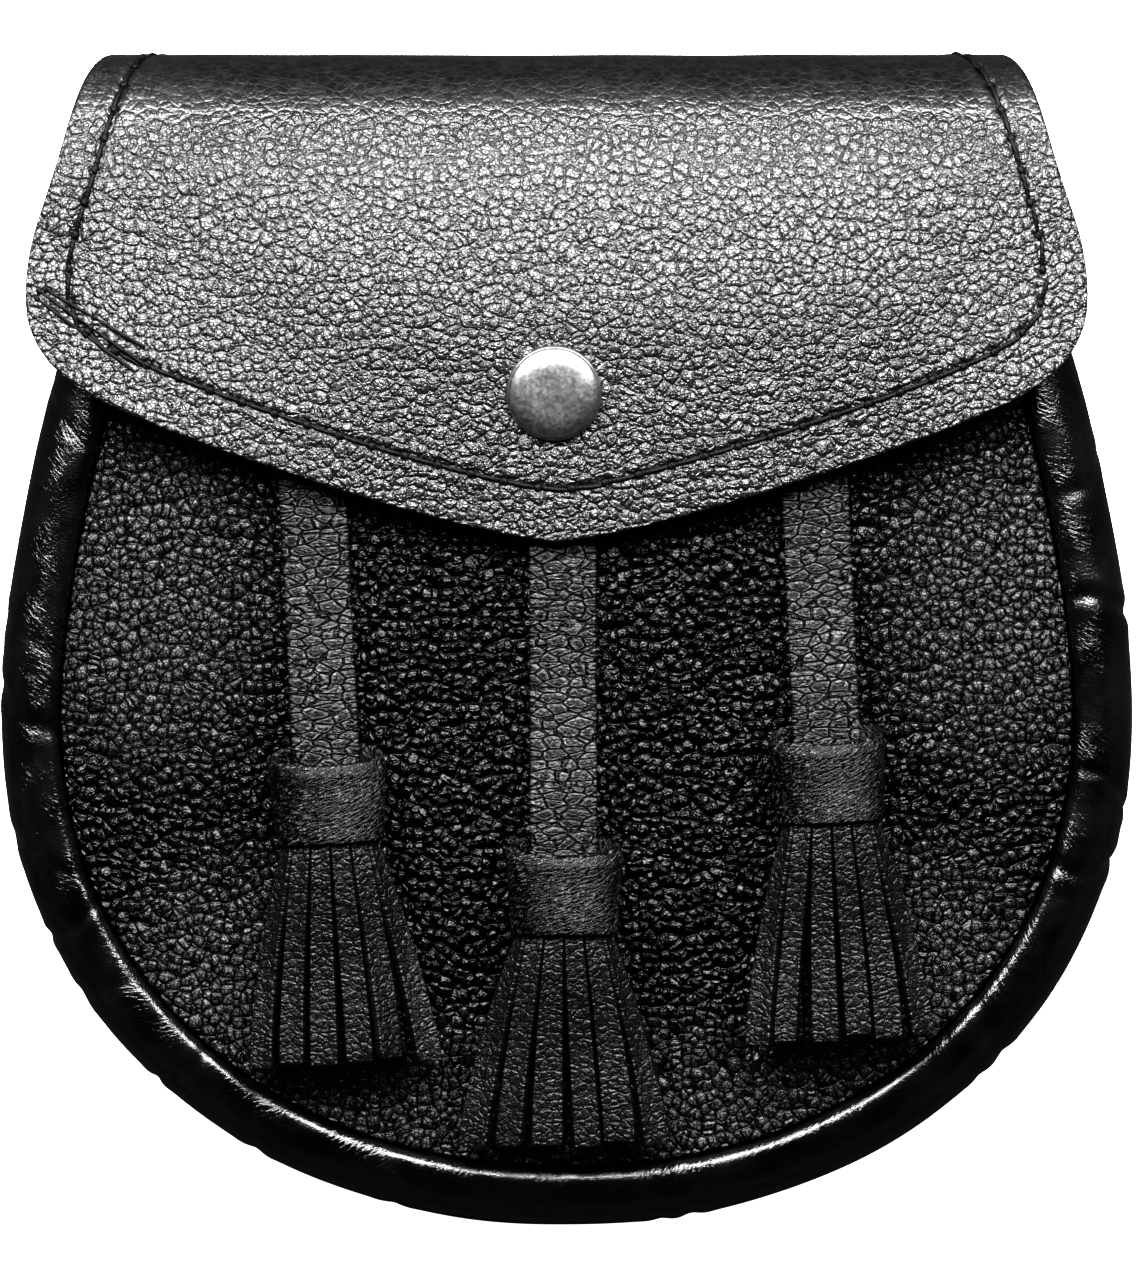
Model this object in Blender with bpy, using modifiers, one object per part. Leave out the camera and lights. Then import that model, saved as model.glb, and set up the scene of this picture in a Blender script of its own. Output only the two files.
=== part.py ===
"""A black leather day sporran, lying on its back with its flap snapped shut.

Metres. +X is the wearer's left as seen from the front, +Y runs from the tassels up to the flap's
fold and +Z comes out of the front. The pieces are modelled square to the back panel, whose outer
face is z = 0 with the widest line of the pouch at y = 0. The empty that carries them then leans
the sporran onto its belt loops and the foot of its gusset, as it rests on a table.
"""

import math
from bisect import bisect_right

import bpy
from mathutils import Vector

# The pouch, seen from the front
BODY_WIDTH = 0.190
BOWL_HEIGHT = 0.0866
MOUTH_HEIGHT = 0.092
MOUTH_TAPER = 0.0213
TAPER_POWER = 1.6
BOWL_POWER = 2.13

# The pouch, seen from the side
SEAM_DEPTH = 0.030
PANEL_WALL = 0.0020
PANEL_CROWN = 0.0048
CROWN_POWER = 2.6
BACK_PANEL_TOP = 0.084

# The rolled gusset
GUSSET_WALL = 0.0018
GUSSET_TOP = 0.087
ROLL_REACH = 0.0100
ROLL_PROUD = 0.0020
LIP_RADIUS = 0.0022
ROLL_RADIUS = 0.0082

# The flap
FLAP_WALL = 0.0024
FLAP_HALF_WIDTH = 0.0885
FLAP_SHIFT = -0.0017
FLAP_TIP = 0.0288
FOLD_HEIGHT = 0.1076
FOLD_DEPTH = 0.0406
FLAP_TAIL = 0.066
TAIL_INSET = 0.0008
FLAP_DROOP = 0.0050
DROOP_POWER = 3.0

# The snap
SNAP_ACROSS = -0.0004
SNAP_UP = 0.0539
CAP_RADIUS = 0.0080
CAP_HEIGHT = 0.0024
SOCKET_RADIUS = 0.0055
STUD_RADIUS = 0.0036

# The tassels and the straps that carry them
STRAP_WIDTH = 0.0113
STRAP_WALL = 0.0020
STRAP_BELOW_SNAP = 0.0029
STRAP_CLIMB = 0.030
COLLAR_WIDTH = 0.0190
COLLAR_DEPTH = 0.0124
COLLAR_HEIGHT = 0.0132
COLLAR_WALL = 0.0013
COLLAR_SLANT = 0.0034
COLLAR_LIP = 0.0006
STRAP_TUCK = 0.0024
FRINGE_WALL = 0.0013
FRINGE_LENGTH = 0.0354
FRINGE_SPREAD = 0.0158
FRINGE_DEPTH = 0.0088
FRINGE_RECESS = 0.0030
STRIP_COUNT = 12
SLIT_AT_HEAD = 0.06
SLIT_AT_FOOT = 0.15

# The belt loops on the back
LOOP_WIDTH = 0.014
LOOP_WALL = 0.0020
LOOP_SPACING = 0.090
LOOP_HEIGHT = 0.037
LOOP_FLAT = 0.022
LOOP_RISE = 0.0050
LOOP_FOOT = 0.0080
LOOP_GAP = 0.0052

CLEARANCE = 0.0003

# How finely the leather is faceted
PANEL_COLUMNS = 10
PANEL_ROWS = 15
FLAP_COLUMNS = 10
FLAP_ROWS = 26
GUSSET_STATIONS = 34
LIP_FACETS = 2
ROLL_FACETS = 4
STRAP_ROWS = 16
COLLAR_SIDES = 20
FRINGE_ROWS = 5
SNAP_SIDES = 24
CURVE_STEPS = 10
CORNER_SHARE = 0.60

SEAM_HALF_WIDTH = BODY_WIDTH / 2 - ROLL_REACH
SEAM_BOWL = BOWL_HEIGHT - ROLL_REACH

# Side view of the flap's inner face, from its tip over the fold to its tail on the back.
# up: share of the way from the tip to the fold's top; out: share of the fold's depth.
FLAP_PROFILE = (
    # up, out
    (0.000, 0.924),
    (0.310, 0.975),
    (0.590, 0.995),
    (0.780, 0.957),
    (0.905, 0.825),
    (0.980, 0.640),
    (1.000, 0.456),
    (0.967, 0.222),
    (0.880, 0.054),
)

# Edge of the flap laid flat, from its tip to the top of its fold.
# half: share of the flap's half width; run: share of the whole length from tip to tail.
FLAP_EDGE = (
    # half, run
    (0.000, 0.000),
    (0.130, 0.014),
    (0.336, 0.048),
    (0.612, 0.104),
    (0.786, 0.145),
    (0.887, 0.175),
    (0.955, 0.210),
    (0.991, 0.249),
    (1.000, 0.294),
    (0.987, 0.357),
    (0.944, 0.446),
    (0.876, 0.590),
)
FLAP_CORNER = 6

# Creases across the rolled gusset, met on the way from the right end of the mouth to the left.
# along: share of the gusset's length; depth: share of the roll's reach; half: share of the length.
GUSSET_CREASES = (
    # along, depth, half
    (0.165, 0.050, 0.008),
    (0.262, 0.080, 0.007),
    (0.330, 0.045, 0.009),
    (0.452, 0.085, 0.006),
    (0.618, 0.060, 0.008),
    (0.690, 0.085, 0.007),
    (0.742, 0.050, 0.008),
    (0.795, 0.075, 0.006),
    (0.822, 0.060, 0.006),
)

# The three tassels.
# across: share of the seam's half width; down: share of the bowl's height, at the collar's near
# rim; lean: degrees, the foot towards +X; fringe and spread: shares of the fringe's length and
# of its half width at the foot.
TASSELS = {
    # across, down, lean, fringe, spread
    "left": (-0.473, 0.107, 3.0, 1.06, 1.00),
    "centre": (-0.006, 0.306, 0.2, 1.02, 1.10),
    "right": (0.512, 0.061, 2.7, 1.04, 1.00),
}


class Path:
    """A line through points, read by the distance along it."""

    def __init__(self, points):
        self.points = [Vector(p) for p in points]
        self.marks = [0.0]
        for a, b in zip(self.points, self.points[1:]):
            self.marks.append(self.marks[-1] + (b - a).length)
        self.length = self.marks[-1]

    def stretch(self, distance):
        """The piece of line that holds this distance, and how far along it."""
        i = min(max(bisect_right(self.marks, distance) - 1, 0), len(self.points) - 2)
        return i, (distance - self.marks[i]) / (self.marks[i + 1] - self.marks[i])

    def at(self, distance):
        i, share = self.stretch(distance)
        return self.points[i].lerp(self.points[i + 1], share)

    def heading(self, distance):
        """Unit direction of the line, turning evenly from one piece to the next."""
        i, share = self.stretch(distance)
        ends = [max(i - 1, 0), min(i + 1, len(self.points) - 1), min(i + 2, len(self.points) - 1)]
        before = self.points[ends[1]] - self.points[ends[0]]
        after = self.points[ends[2]] - self.points[i]
        return before.normalized().lerp(after.normalized(), share).normalized()

    def shares(self, count):
        """Points at even distances, ends included."""
        return [self.at(self.length * i / count) for i in range(count + 1)]

    def part(self, start, end):
        """The stretch of the line between two distances, as a path."""
        inner = [p for p, m in zip(self.points, self.marks) if start < m < end]
        return Path([self.at(start), *inner, self.at(end)])

    def reversed(self):
        return Path(self.points[::-1])


def spline(points):
    """Points of a smooth curve that passes through the given ones."""
    points = [Vector(p) for p in points]
    ends = [2 * points[0] - points[1], *points, 2 * points[-1] - points[-2]]
    found = []
    for a, b, c, d in zip(ends, ends[1:], ends[2:], ends[3:]):
        for i in range(CURVE_STEPS):
            t = i / CURVE_STEPS
            bend = (2 * a - 5 * b + 4 * c - d) * t * t + (3 * b - a - 3 * c + d) * t**3
            found.append((2 * b + (c - a) * t + bend) / 2)
    found.append(points[-1])
    return found


def smooth_step(value):
    t = min(max(value, 0.0), 1.0)
    return t * t * (3 - 2 * t)


def leather(name, grey, roughness):
    """A dyed leather: grey is its linear base colour."""
    return shader(name, (grey, grey, grey, 1.0), roughness, 0.0)


def shader(name, colour, roughness, metallic):
    made = bpy.data.materials.new(name)
    made.use_nodes = True
    surface = made.node_tree.nodes["Principled BSDF"]
    surface.inputs["Base Color"].default_value = colour
    surface.inputs["Roughness"].default_value = roughness
    surface.inputs["Metallic"].default_value = metallic
    return made


def add_piece(name, points, faces, material, group):
    """A mesh object with its origin at its first point, carried by the sporran's empty."""
    origin = Vector(points[0])
    mesh = bpy.data.meshes.new(name)
    mesh.from_pydata([Vector(p) - origin for p in points], [], faces)
    mesh.materials.append(material)
    mesh.shade_smooth()
    piece = bpy.data.objects.new(name, mesh)
    piece.location = origin
    piece.parent = group["root"]
    group["collection"].objects.link(piece)
    return piece


def solidify(piece, wall, outwards):
    """Gives an open surface its wall, on the side that its faces point to or the other."""
    modifier = piece.modifiers.new("Wall", "SOLIDIFY")
    modifier.thickness = wall
    modifier.offset = 1.0 if outwards else -1.0
    modifier.use_even_offset = True
    modifier.use_quality_normals = True


def grid_faces(rows, columns, closed=False):
    """Quads between rows of points; a closed grid joins its last column to its first."""
    faces = []
    for r in range(rows - 1):
        for c in range(columns if closed else columns - 1):
            d = (c + 1) % columns
            faces.append((r * columns + c, (r + 1) * columns + c, (r + 1) * columns + d, r * columns + d))
    return faces


def half_patch(top, side, bottom, centre, rows, columns):
    """Rows of points over a half outline, each row from the centre line to the side.

    The four paths meet at the patch's corners: top and bottom run outwards from the centre line,
    centre and side run downwards.
    """
    tops, bottoms = top.shares(columns), bottom.shares(columns)
    centres, sides = centre.shares(rows), side.shares(rows)
    patch = []
    for j in range(rows + 1):
        v = j / rows
        line = []
        for i in range(columns + 1):
            u = i / columns
            ruled = tops[i] * (1 - v) + bottoms[i] * v + centres[j] * (1 - u) + sides[j] * u
            corners = (tops[0] * (1 - u) + tops[-1] * u) * (1 - v)
            corners += (bottoms[0] * (1 - u) + bottoms[-1] * u) * v
            line.append(ruled - corners)
        patch.append(line)
    return patch


def whole_patch(patch):
    """The half patch with its mirror image, as rows of points from -X to +X."""
    rows = []
    for line in patch:
        mirrored = [Vector((-p.x, p.y)) for p in line[:0:-1]]
        rows.append(mirrored + line)
    return rows


def seam_half_width(y):
    """Half width of the panels at this height."""
    if y >= 0:
        return SEAM_HALF_WIDTH - MOUTH_TAPER * (y / MOUTH_HEIGHT) ** TAPER_POWER
    fill = max(1 - (-y / SEAM_BOWL) ** BOWL_POWER, 0.0)
    return SEAM_HALF_WIDTH * fill ** (1 / BOWL_POWER)


def seam_curve(top):
    """Right half of the panels' edge, from this height on the side to the foot of the bowl."""
    steps = 4 * CURVE_STEPS
    points = []
    for i in range(steps):
        y = top * (1 - i / steps)
        points.append((seam_half_width(y), y))
    for i in range(steps + 1):
        turn = math.radians(90) * i / steps
        across = max(math.cos(turn), 0.0) ** (2 / BOWL_POWER)
        down = math.sin(turn) ** (2 / BOWL_POWER)
        points.append((SEAM_HALF_WIDTH * across, -SEAM_BOWL * down))
    return Path(points)


def panel_patch(top):
    """Rows of points over a panel whose mouth edge is at this height."""
    edge = seam_curve(top)
    corner = edge.length * CORNER_SHARE
    mouth = Path([(0, top), (seam_half_width(top), top)])
    centre = Path([(0, top), (0, -SEAM_BOWL)])
    bottom = edge.part(corner, edge.length).reversed()
    return whole_patch(half_patch(mouth, edge.part(0, corner), bottom, centre, PANEL_ROWS, PANEL_COLUMNS))


def panel_height(x, y):
    """Height of the front panel's outer face above the back panel's."""
    if y >= 0:
        reach = abs(x) / seam_half_width(y)
    else:
        across = (abs(x) / SEAM_HALF_WIDTH) ** BOWL_POWER
        reach = (across + (-y / SEAM_BOWL) ** BOWL_POWER) ** (1 / BOWL_POWER)
    return SEAM_DEPTH + PANEL_CROWN * (1 - min(reach, 1.0) ** CROWN_POWER)


def add_front_panel(material, group):
    rows = panel_patch(MOUTH_HEIGHT)
    points = [(p.x, p.y, panel_height(p.x, p.y)) for line in rows for p in line]
    piece = add_piece("front_panel", points, grid_faces(len(rows), len(rows[0])), material, group)
    solidify(piece, PANEL_WALL, outwards=False)


def add_back_panel(material, group):
    rows = panel_patch(BACK_PANEL_TOP)
    points = [(p.x, p.y, PANEL_WALL) for line in rows for p in line]
    piece = add_piece("back_panel", points, grid_faces(len(rows), len(rows[0])), material, group)
    solidify(piece, PANEL_WALL, outwards=False)


def arc(centre, radius, start, end, facets):
    """Points on an arc, the first left out. Angles in degrees, anticlockwise from +X."""
    found = []
    for i in range(1, facets + 1):
        angle = math.radians(start + (end - start) * i / facets)
        found.append(centre + radius * Vector((math.cos(angle), math.sin(angle))))
    return found


def roll_centre():
    """Centre of the rear roll's outer arc: how far out from the seam, and its height."""
    return Vector((ROLL_REACH + CLEARANCE - ROLL_RADIUS, ROLL_RADIUS - ROLL_PROUD))


def gusset_section():
    """Outer face of the gusset: distance out from the seam against height, from front to back."""
    middle = SEAM_DEPTH / 2
    lip = Vector((CLEARANCE + LIP_RADIUS, LIP_RADIUS - ROLL_PROUD))
    meet = math.degrees(math.acos((lip.x - roll_centre().x) / ROLL_RADIUS))
    rear = [Vector((CLEARANCE, PANEL_WALL))]
    rear += [Vector((CLEARANCE, lip.y))]
    rear += arc(lip, LIP_RADIUS, 180, 270, LIP_FACETS)
    rear += arc(roll_centre(), ROLL_RADIUS, -meet, 0, ROLL_FACETS)
    front = [Vector((p.x, 2 * middle - p.y)) for p in reversed(rear)]
    return [*reversed(front), *reversed(rear)]


def crease_at(share):
    """How much of the roll's reach is pressed in at this share of the gusset's length."""
    pressed = 0.0
    for along, depth, half in GUSSET_CREASES:
        pressed = max(pressed, depth * (1 - smooth_step(abs(share - along) / half)))
    return pressed


def gusset_shares():
    """Stations along the gusset: even ones, and three at each crease."""
    marks = {i / GUSSET_STATIONS for i in range(GUSSET_STATIONS + 1)}
    for along, _, half in GUSSET_CREASES:
        marks = {m for m in marks if abs(m - along) > 1.6 * half}
        marks |= {along - half, along, along + half}
    return sorted(marks)


def add_gusset(material, group):
    half = seam_curve(GUSSET_TOP)
    mirrored = [Vector((-p.x, p.y)) for p in half.points[-2::-1]]
    path = Path([*half.points, *mirrored])
    section = gusset_section()
    points = []
    shares = gusset_shares()
    for share in shares:
        foot = path.at(share * path.length)
        heading = path.heading(share * path.length)
        outwards = Vector((-heading.y, heading.x))
        keep = 1 - crease_at(share)
        for out, height in section:
            reach = CLEARANCE + (out - CLEARANCE) * keep
            edge = foot + outwards * reach
            points.append((edge.x, edge.y, height))
    piece = add_piece("gusset", points, grid_faces(len(shares), len(section)), material, group)
    solidify(piece, GUSSET_WALL, outwards=False)


def flap_profile():
    """Side view of the flap's inner face as a path of height against depth, tip first."""
    rise = FOLD_HEIGHT - FLAP_TIP
    bends = [(FLAP_TIP + rise * up, FOLD_DEPTH * out) for up, out in FLAP_PROFILE]
    tail_start = BACK_PANEL_TOP
    tail = [(tail_start, -CLEARANCE), ((tail_start + FLAP_TAIL) / 2, -CLEARANCE)]
    return Path(spline([*bends, *tail, (FLAP_TAIL, -CLEARANCE)]))


def flap_point(profile, x, run):
    """Where a point of the flap, laid flat, comes to lie: x across, run along from the tip."""
    bend, heading = profile.at(run), profile.heading(run)
    onto_back = smooth_step((run / profile.length - 0.32) / 0.26)
    droop = FLAP_DROOP * (1 - onto_back) * (abs(x) / FLAP_HALF_WIDTH) ** DROOP_POWER
    return Vector((FLAP_SHIFT + x, bend.x + heading.y * droop, bend.y - heading.x * droop))


def flap_outline(profile):
    """Right half of the flap's edge laid flat, from its tip to the end of its tail.

    The tail lies on the back panel, between the ends of the rolled gusset.
    """
    edge = [(FLAP_HALF_WIDTH * half, profile.length * run) for half, run in FLAP_EDGE]
    tail_half = seam_half_width(GUSSET_TOP) - abs(FLAP_SHIFT) - TAIL_INSET
    clear = profile.length - (GUSSET_TOP - FLAP_TAIL) - FLAP_WALL
    return Path(spline([*edge, (tail_half, clear), (tail_half, profile.length)]))


def flap_normal(profile, run):
    """Outward direction of the flap's surface on its centre line."""
    heading = profile.heading(run)
    return Vector((0, -heading.y, heading.x))


def add_flap(material, group):
    profile = flap_profile()
    outline = flap_outline(profile)
    corner = outline.marks[FLAP_CORNER * CURVE_STEPS]
    tail_half = outline.points[-1].x
    top = Path([(0, profile.length), (tail_half, profile.length)])
    side = outline.part(corner, outline.length).reversed()
    bottom = outline.part(0, corner)
    centre = Path([(0, profile.length), (0, 0)])
    rows = whole_patch(half_patch(top, side, bottom, centre, FLAP_ROWS, FLAP_COLUMNS))
    points = [flap_point(profile, p.x, p.y) for line in rows for p in line]
    piece = add_piece("flap", points, grid_faces(len(rows), len(rows[0])), material, group)
    solidify(piece, FLAP_WALL, outwards=True)


def turned(name, outline, centre, axis, material, group):
    """A solid turned about an axis: outline is radius against height, from the top down."""
    points = [(radius, 0, height) for radius, height in outline]
    edges = [(i, i + 1) for i in range(len(points) - 1)]
    mesh = bpy.data.meshes.new(name)
    mesh.from_pydata(points, edges, [])
    mesh.materials.append(material)
    piece = bpy.data.objects.new(name, mesh)
    group["collection"].objects.link(piece)
    screw = piece.modifiers.new("Turn", "SCREW")
    screw.steps = SNAP_SIDES
    screw.render_steps = SNAP_SIDES
    screw.use_merge_vertices = True
    screw.merge_threshold = 0.00001
    piece.location = centre
    piece.rotation_euler = axis.to_track_quat("Z", "Y").to_euler()
    piece.parent = group["root"]
    return piece


def add_snap(material, group):
    """The domed cap on the flap, and the socket and stud that hold it to the panel."""
    profile = flap_profile()
    run = profile.length * 0.5
    for _ in range(CURVE_STEPS):
        run += SNAP_UP - profile.at(run).x
    x = SNAP_ACROSS
    inner = flap_point(profile, x, run)
    axis = flap_normal(profile, run)
    seat = inner + axis * (FLAP_WALL + CLEARANCE)
    dome = [(0.0, CAP_HEIGHT)]
    for share in (0.30, 0.55, 0.76, 0.90, 0.98):
        dome.append((CAP_RADIUS * share, CAP_HEIGHT * (1 - share**3 * 0.72)))
    dome += [(CAP_RADIUS, CAP_HEIGHT * 0.16), (CAP_RADIUS * 0.97, 0.0), (0.0, 0.0)]
    turned("snap_cap", dome, seat, axis, material["cap"], group)

    across = inner.x
    top = inner.z - CLEARANCE - SOCKET_RADIUS * abs(axis.y)
    foot = panel_height(across, inner.y) + CLEARANCE
    rise = top - foot
    steps = [(0.0, rise), (SOCKET_RADIUS, rise), (SOCKET_RADIUS, rise * 0.45)]
    steps += [(STUD_RADIUS, rise * 0.45), (STUD_RADIUS, rise * 0.2)]
    steps += [(SOCKET_RADIUS, rise * 0.12), (SOCKET_RADIUS, 0.0), (0.0, 0.0)]
    base = Vector((across, inner.y, foot))
    turned("snap_post", steps, base, Vector((0, 0, 1)), material["post"], group)


class Tassel:
    """One tassel's own frame on the front panel: x across it, y up its axis from the near rim."""

    def __init__(self, across, down, lean, fringe, spread):
        self.x = SEAM_HALF_WIDTH * across
        self.y = -SEAM_BOWL * down
        self.turn = math.radians(lean)
        self.fringe = FRINGE_LENGTH * fringe
        self.spread = FRINGE_SPREAD * spread

    def place(self, x, y, height):
        """A point of the tassel's frame, at this height above the panel's outer face."""
        px = self.x + x * math.cos(self.turn) - y * math.sin(self.turn)
        py = self.y + x * math.sin(self.turn) + y * math.cos(self.turn)
        return Vector((px, py, panel_height(px, py) + height))


def head_half_sizes():
    """Half width and half depth of the fringe's head, which fits inside the collar."""
    inset = COLLAR_WALL + CLEARANCE
    return COLLAR_WIDTH / 2 - inset, COLLAR_DEPTH / 2 - inset


def head_middle():
    """Height of the collar's and the head's axis above the panel."""
    return CLEARANCE + COLLAR_LIP + COLLAR_DEPTH / 2


def strap_seat():
    """Height at which the strap lies on the far inner side of the collar, above the head."""
    half = COLLAR_WIDTH / 2 - COLLAR_WALL
    deep = COLLAR_DEPTH / 2 - COLLAR_WALL
    fall = deep * math.sqrt(1 - (STRAP_WIDTH / 2 / half) ** 2)
    return head_middle() - fall + CLEARANCE


def add_strap(name, tassel, material, group):
    """The strap starts below the snap, lies on the panel and climbs gently into the collar."""
    columns = (-0.5, 0.0, 0.5)
    top = SNAP_UP - SOCKET_RADIUS - STRAP_BELOW_SNAP - tassel.y
    tucked = strap_seat()
    points = []
    for i in range(STRAP_ROWS + 1):
        y = top + (-STRAP_TUCK - top) * i / STRAP_ROWS
        climb = smooth_step((COLLAR_SLANT + STRAP_CLIMB - y) / STRAP_CLIMB)
        height = CLEARANCE + (tucked - CLEARANCE) * climb
        points += [tassel.place(STRAP_WIDTH * c, y, height) for c in columns]
    piece = add_piece(name, points, grid_faces(STRAP_ROWS + 1, len(columns)), material, group)
    solidify(piece, STRAP_WALL, outwards=True)


def add_collar(name, tassel, material, group):
    """A band wrapped round the head, its near rim lower than its far rim and turned out a little."""
    levels = (
        # share of the height, share of the lip
        (0.00, 0.5),
        (0.12, 0.0),
        (0.70, 0.0),
        (0.90, 0.4),
        (1.00, 1.0),
    )
    centre = head_middle()
    points = []
    for share, lip in levels:
        for i in range(COLLAR_SIDES):
            angle = math.tau * i / COLLAR_SIDES
            far = (1 - math.sin(angle)) / 2
            half = COLLAR_WIDTH / 2 + COLLAR_LIP * lip
            deep = COLLAR_DEPTH / 2 + COLLAR_LIP * lip
            y = -COLLAR_HEIGHT + share * (COLLAR_HEIGHT + COLLAR_SLANT * far)
            points.append(tassel.place(half * math.cos(angle), y, centre + deep * math.sin(angle)))
    piece = add_piece(name, points, grid_faces(len(levels), COLLAR_SIDES, closed=True), material, group)
    solidify(piece, COLLAR_WALL, outwards=False)


def fringe_rings(tassel):
    """Rings of the fringe, head first.

    Each is its distance below the near rim, half width, half depth, middle height and slit share.
    """
    half, deep = head_half_sizes()
    middle = head_middle()
    rings = [(FRINGE_RECESS, half, deep, middle, SLIT_AT_HEAD)]
    for i in range(FRINGE_ROWS + 1):
        share = i / FRINGE_ROWS
        ring_half = half + (tassel.spread - half) * (1 - (1 - share) ** 1.35)
        ring_deep = deep + (FRINGE_DEPTH / 2 - deep) * share
        sag = smooth_step(share * 1.6)
        ring_middle = middle + (CLEARANCE + ring_deep - middle) * sag
        slit = SLIT_AT_HEAD + (SLIT_AT_FOOT - SLIT_AT_HEAD) * share
        rings.append((COLLAR_HEIGHT + tassel.fringe * share, ring_half, ring_deep, ring_middle, slit))
    return rings


def oval(half, deep):
    """Once round an ellipse, anticlockwise from +X."""
    steps = 8 * CURVE_STEPS
    turns = [math.tau * i / steps for i in range(steps + 1)]
    return Path([(half * math.cos(t), deep * math.sin(t)) for t in turns])


def add_fringe(name, tassel, material, group):
    """A ring of leather slit into strips below the collar, which spread and lie on the panel."""
    columns = 2 * STRIP_COUNT
    rings = fringe_rings(tassel)
    points = []
    for down, half, deep, middle, slit in rings:
        rim = oval(half - FRINGE_WALL, deep - FRINGE_WALL)
        for i in range(columns):
            strip, side = divmod(i, 2)
            turns = (strip + 0.5 + (side - 0.5) * (1 - slit)) / STRIP_COUNT
            edge = rim.at(rim.length * turns)
            points.append(tassel.place(edge.x, -down, middle + edge.y))
    faces = []
    for i, face in enumerate(grid_faces(len(rings), columns, closed=True)):
        row, column = divmod(i, columns)
        if row == 0 or column % 2 == 0:
            faces.append(face[::-1])
    piece = add_piece(name, points, faces, material, group)
    solidify(piece, FRINGE_WALL, outwards=True)


def resting_lean():
    """Angle at which the belt loops and the foot of the rear roll both touch the table."""
    foot = Vector((-SEAM_BOWL - roll_centre().x, roll_centre().y))
    touch = Vector((LOOP_HEIGHT, -(CLEARANCE + LOOP_GAP + LOOP_WALL)))
    down = touch - foot
    return -(math.atan2(down.y, down.x) + math.asin(ROLL_RADIUS / down.length))


def table_line(y):
    """Depth of the table behind the back panel at this height, in the sporran's own frame."""
    touch = -(CLEARANCE + LOOP_GAP + LOOP_WALL)
    return touch - math.tan(resting_lean()) * (y - LOOP_HEIGHT)


def add_belt_loop(name, x, material, group):
    """A strap fixed at both ends; its flat middle stands off the back and lies on the table."""
    half = LOOP_FLAT / 2
    upper, lower = LOOP_HEIGHT + half, LOOP_HEIGHT - half
    stand = [table_line(upper) + LOOP_WALL, table_line(lower) + LOOP_WALL]
    line = [
        (upper + LOOP_RISE + LOOP_FOOT, -CLEARANCE),
        (upper + LOOP_RISE, -CLEARANCE),
        (upper, stand[0]),
        (lower, stand[1]),
        (lower - LOOP_RISE, -CLEARANCE),
        (lower - LOOP_RISE - LOOP_FOOT, -CLEARANCE),
    ]
    points = []
    for y, z in line:
        points += [(x + LOOP_WIDTH / 2, y, z), (x - LOOP_WIDTH / 2, y, z)]
    piece = add_piece(name, points, grid_faces(len(line), 2), material, group)
    solidify(piece, LOOP_WALL, outwards=True)


def seat_on_table(group):
    """Leans the sporran and brings the middle of its footprint to the world's origin."""
    root = group["root"]
    root.rotation_euler = (resting_lean(), 0, 0)
    bpy.context.view_layer.update()
    graph = bpy.context.evaluated_depsgraph_get()
    corners = []
    for piece in group["collection"].objects:
        if piece.type == "MESH":
            placed = piece.evaluated_get(graph)
            corners += [placed.matrix_world @ v.co for v in placed.data.vertices]
    low = Vector(min(c[i] for c in corners) for i in range(3))
    high = Vector(max(c[i] for c in corners) for i in range(3))
    root.location = (-(low.x + high.x) / 2, -(low.y + high.y) / 2, -low.z)


def main():
    for old in list(bpy.data.objects):
        bpy.data.objects.remove(old)
    collection = bpy.data.collections.new("sporran")
    bpy.context.scene.collection.children.link(collection)
    root = bpy.data.objects.new("sporran_frame", None)
    collection.objects.link(root)
    group = {"collection": collection, "root": root}

    grained = leather("grained_leather", 0.022, 0.42)
    smooth = leather("smooth_leather", 0.012, 0.30)
    strap_leather = leather("strap_leather", 0.030, 0.45)
    fringe_leather = leather("fringe_leather", 0.020, 0.50)
    nickel = shader("antique_nickel", (0.42, 0.41, 0.40, 1.0), 0.34, 1.0)
    steel = shader("snap_steel", (0.30, 0.30, 0.30, 1.0), 0.40, 1.0)

    add_front_panel(grained, group)
    add_back_panel(smooth, group)
    add_gusset(smooth, group)
    add_flap(grained, group)
    add_snap({"cap": nickel, "post": steel}, group)
    for side, measures in TASSELS.items():
        tassel = Tassel(*measures)
        add_strap(f"strap_{side}", tassel, strap_leather, group)
        add_collar(f"collar_{side}", tassel, smooth, group)
        add_fringe(f"fringe_{side}", tassel, fringe_leather, group)
    add_belt_loop("belt_loop_left", -LOOP_SPACING / 2, smooth, group)
    add_belt_loop("belt_loop_right", LOOP_SPACING / 2, smooth, group)
    seat_on_table(group)


main()
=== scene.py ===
"""Dresses a black leather day sporran for its picture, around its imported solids.

Everything is modelled in the sporran's own frame, where the back panel's outer face is z = 0, the
widest line of the pouch is y = 0 and +Z comes out of the front. PouchFrame reads from the solids
how that frame leans on the table, and carries each finished piece there.
"""

import logging
import math
from dataclasses import dataclass, field
from enum import Enum
from typing import Any

import bpy
import numpy as np
from mathutils import Matrix, Vector

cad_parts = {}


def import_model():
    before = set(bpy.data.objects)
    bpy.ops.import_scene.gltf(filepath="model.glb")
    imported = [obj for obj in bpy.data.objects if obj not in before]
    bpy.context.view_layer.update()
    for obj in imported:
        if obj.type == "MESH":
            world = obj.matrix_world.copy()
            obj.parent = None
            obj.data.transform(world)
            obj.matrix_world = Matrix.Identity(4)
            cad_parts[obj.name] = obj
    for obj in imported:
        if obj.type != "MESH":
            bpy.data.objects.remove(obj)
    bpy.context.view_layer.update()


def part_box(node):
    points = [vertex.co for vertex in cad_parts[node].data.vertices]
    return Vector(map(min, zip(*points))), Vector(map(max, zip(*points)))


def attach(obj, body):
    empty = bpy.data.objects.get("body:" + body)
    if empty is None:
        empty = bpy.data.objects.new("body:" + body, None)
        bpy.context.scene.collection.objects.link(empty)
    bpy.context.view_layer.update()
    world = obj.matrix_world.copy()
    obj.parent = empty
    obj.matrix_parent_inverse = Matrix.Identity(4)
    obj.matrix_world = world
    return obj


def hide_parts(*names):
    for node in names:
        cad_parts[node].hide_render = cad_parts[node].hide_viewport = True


LOG = logging.getLogger("sporran")
BODY = "root"
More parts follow.
